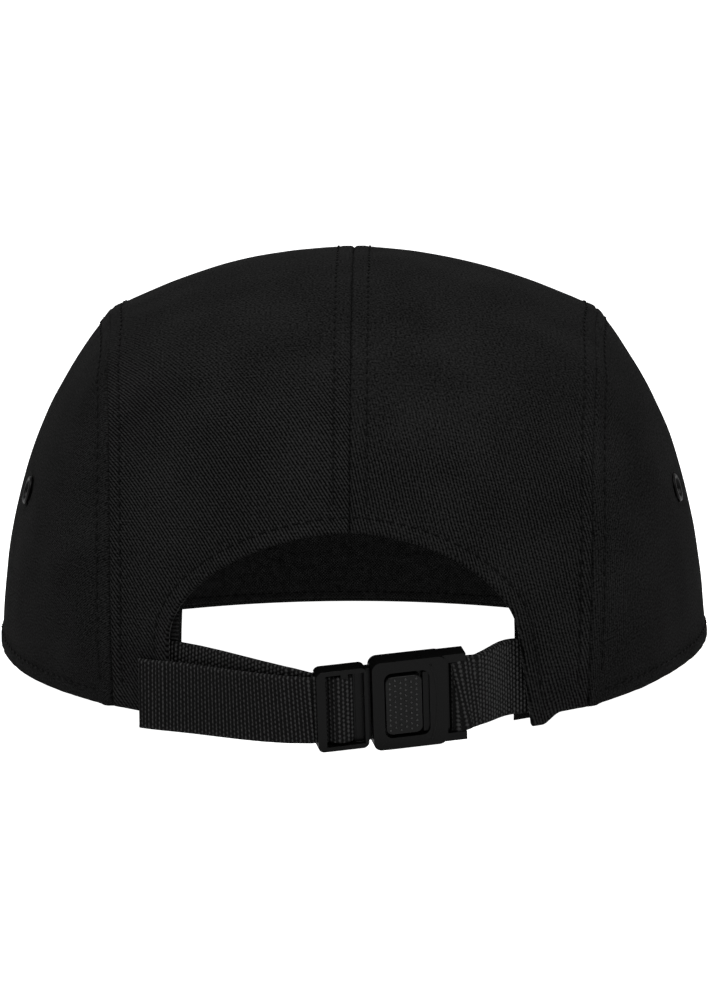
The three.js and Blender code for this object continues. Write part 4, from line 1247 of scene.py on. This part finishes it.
def sewn_row(place, relief, along_u, start, stop, from_end, line, distance, upwards=False):
    """A row of places on a panel at a distance from a seam or edge, for shares from start to stop."""
    def shares(fixed, moved):
        share = 1 - moved if from_end else moved
        return (fixed, share) if along_u else (share, fixed)

    row = []
    for k in evenly(ROW_POINTS):
        fixed = between(start, stop, k)
        low, high = 0.0, None
        for step in evenly(SEARCH_STEPS)[1:]:
            if line.measure(place(*shares(fixed, step)))[0] > distance:
                high = step
                break
            low = step
        if high is None:
            continue
        for _ in range(14):
            middle = (low + high) / 2
            if line.measure(place(*shares(fixed, middle)))[0] > distance:
                high = middle
            else:
                low = middle
        u, v = shares(fixed, middle)
        point, out = place(u, v), out_of(place, u, v, upwards)
        row.append((point + out * relief(u, v, point), out))
    return row


front_relief = relief_by(FRONT_LINES)
sew(
    "front_topstitch",
    [
        sewn_row(front_point, front_relief, False, 0.03, 0.97, False, SIDE_SEAMS[-1], SEAM_STITCH),
        sewn_row(front_point, front_relief, False, 0.03, 0.97, True, SIDE_SEAMS[1], SEAM_STITCH),
        sewn_row(front_point, front_relief, True, 0.03, 0.97, True, CROSS_LINE, SEAM_STITCH),
        sewn_row(front_point, front_relief, True, 0.03, 0.97, False, FRONT_RIM, HEM_STITCH),
    ],
    "twill",
)
for side, word in ((1, "left"), (-1, "right")):
    def back_place(u, v, side=side):
        return back_point(u, v, side)

    def side_place(u, v, side=side):
        return side_point(u, v, side)

    relief, seam = relief_by(BACK_LINES[side]), SIDE_SEAMS[side]
    sew(
        f"back_{word}_topstitch",
        [
            sewn_row(back_place, relief, True, CORNER_COLUMN + 0.02, 0.98, True, seam, SEAM_STITCH),
            sewn_row(back_place, relief, True, 0.02, CORNER_COLUMN - 0.01, True, CROSS_LINE, SEAM_STITCH),
            sewn_row(back_place, relief, False, 0.04, 0.98, False, CENTRE_SEAM, CENTRE_STITCH),
            sewn_row(back_place, relief, True, 0.0, 0.97, False, ARCH_LINES[side], HEM_STITCH),
        ],
        "twill",
    )
    relief = relief_by(SIDE_LINES[side])
    sew(
        f"side_{word}_topstitch",
        [
            sewn_row(side_place, relief, True, 0.04, 0.96, True, seam, SEAM_STITCH),
            sewn_row(side_place, relief, True, 0.04, 0.96, False, SIDE_RIM_LINES[side], HEM_STITCH),
        ],
        "twill",
    )

brim_rows = [BRIM_FIRST_ROW + row * BRIM_ROW_GAP for row in range(BRIM_STITCH_ROWS)]
sew(
    "brim_topstitch",
    [
        sewn_row(brim_point, brim_relief, True, 0.02, 0.98, True, BRIM_OUTER, reach, True)
        for reach in brim_rows
    ],
    "twill",
)


def band_row(up, inside):
    """A row along the sweatband at a share of its height, on its head side or its crown side."""
    row = []
    for share in evenly(300)[2:-2]:
        out = out_of(band_point, share, up)
        point = band_point(share, up) + out * band_relief(share, up, band_point(share, up))
        row.append((point - out * BAND_THICKNESS, -out) if inside else (point, out))
    return row


seam_row = band_row(BAND_STITCH / BAND_HEIGHT, True)
sew("sweatband_seam_stitch", [seam_row], "sweatband_cloth", 2.6, 1.9, 0.45, 0.4, finish=LIGHT_THREAD)
BAND_END = 1 - 2.2 / BAND_LINE.along[-1]
end_row = [
    (band_point(BAND_END, up) + out_of(band_point, BAND_END, up) * 0.02, out_of(band_point, BAND_END, up))
    for up in evenly(60)[2:-2]
]
sew(
    "sweatband_overlock",
    [end_row],
    "sweatband_cloth",
    pitch=1.05,
    length=4.0,
    width=0.62,
    height=0.5,
    sunk=0.0,
    slant=math.pi / 2,
    finish=LIGHT_THREAD,
)
_, tail_length, tail_face = strap_face(ADJUSTABLE_ROUTE, ADJUSTABLE_WIDTH)
tail_share = 1 - TAIL_STITCH / tail_length
tail_row = [tail_face(tail_share, v) for v in evenly(80)[4:-4]]
sew("tail_stitch", [[(place + out * 0.3, out) for place, out in tail_row]], "webbing", 2.5, 1.9, 0.5, 0.4)

# The camera looks at the cap from behind and a little above, from far off
CAMERA_DISTANCE = 1.3
SENSOR = 36
FOCAL_RATIO = 4.819
look = metres((0, 0, 49.4))
elevation, yaw = math.radians(8), math.radians(-0.7)
back = Vector((math.sin(yaw) * math.cos(elevation), math.cos(yaw) * math.cos(elevation), math.sin(elevation)))
camera = bpy.data.objects.new("camera", bpy.data.cameras.new("camera"))
camera.location = look + back * CAMERA_DISTANCE
camera.rotation_euler = (-back).to_track_quat("-Z", "Y").to_euler()
camera.data.sensor_width = SENSOR
camera.data.lens = SENSOR * FOCAL_RATIO
bpy.context.scene.collection.objects.link(camera)
bpy.context.scene.camera = camera

bpy.context.scene.view_settings.view_transform = "Standard"
world = bpy.data.worlds.new("studio")
world.use_nodes = True
sky = world.node_tree
sky.nodes.clear()
rays = add_node(sky, "ShaderNodeLightPath")
glow = add_node(sky, MATH, TIMES_ADD, {0: rays, 1: 0.85, 2: 0.35})
backdrop = add_node(sky, "ShaderNodeBackground", None, {"Color": (1, 1, 1, 1), "Strength": glow})
add_node(sky, "ShaderNodeOutputWorld", None, {"Surface": backdrop.outputs["Background"]})
bpy.context.scene.world = world


def softbox(name, place, size, power):
    light = bpy.data.lights.new(name, "AREA")
    light.shape = "RECTANGLE"
    light.size, light.size_y = size
    light.energy = power
    holder = bpy.data.objects.new(name, light)
    holder.location = place
    holder.rotation_euler = (Vector((0, 0, 0.05)) - Vector(place)).to_track_quat("-Z", "Y").to_euler()
    bpy.context.scene.collection.objects.link(holder)


softbox("top_softbox", (0.1, 0.45, 1.1), (0.9, 0.7), 9.5)
softbox("edge_strip", (-0.25, 0.8, 0.8), (0.9, 0.05), 1.6)

floor_bm = bmesh.new()
bmesh.ops.create_grid(floor_bm, x_segments=2, y_segments=2, size=6)
floor = finished("floor", floor_bm, False)
floor_paint, tree = new_material("pale_floor")
seen = add_node(tree, MATH, TIMES_ADD, {0: add_node(tree, "ShaderNodeLightPath"), 1: 1.0, 2: 0.1})
paint = {"Base Color": linear("#f4f4f4"), "Roughness": 0.9, "Emission Color": linear("#ffffff")}
floor_shader = add_node(tree, "ShaderNodeBsdfPrincipled", None, {**paint, "Emission Strength": seen})
add_node(tree, "ShaderNodeOutputMaterial", None, {"Surface": floor_shader.outputs["BSDF"]})
floor.data.materials.append(floor_paint)
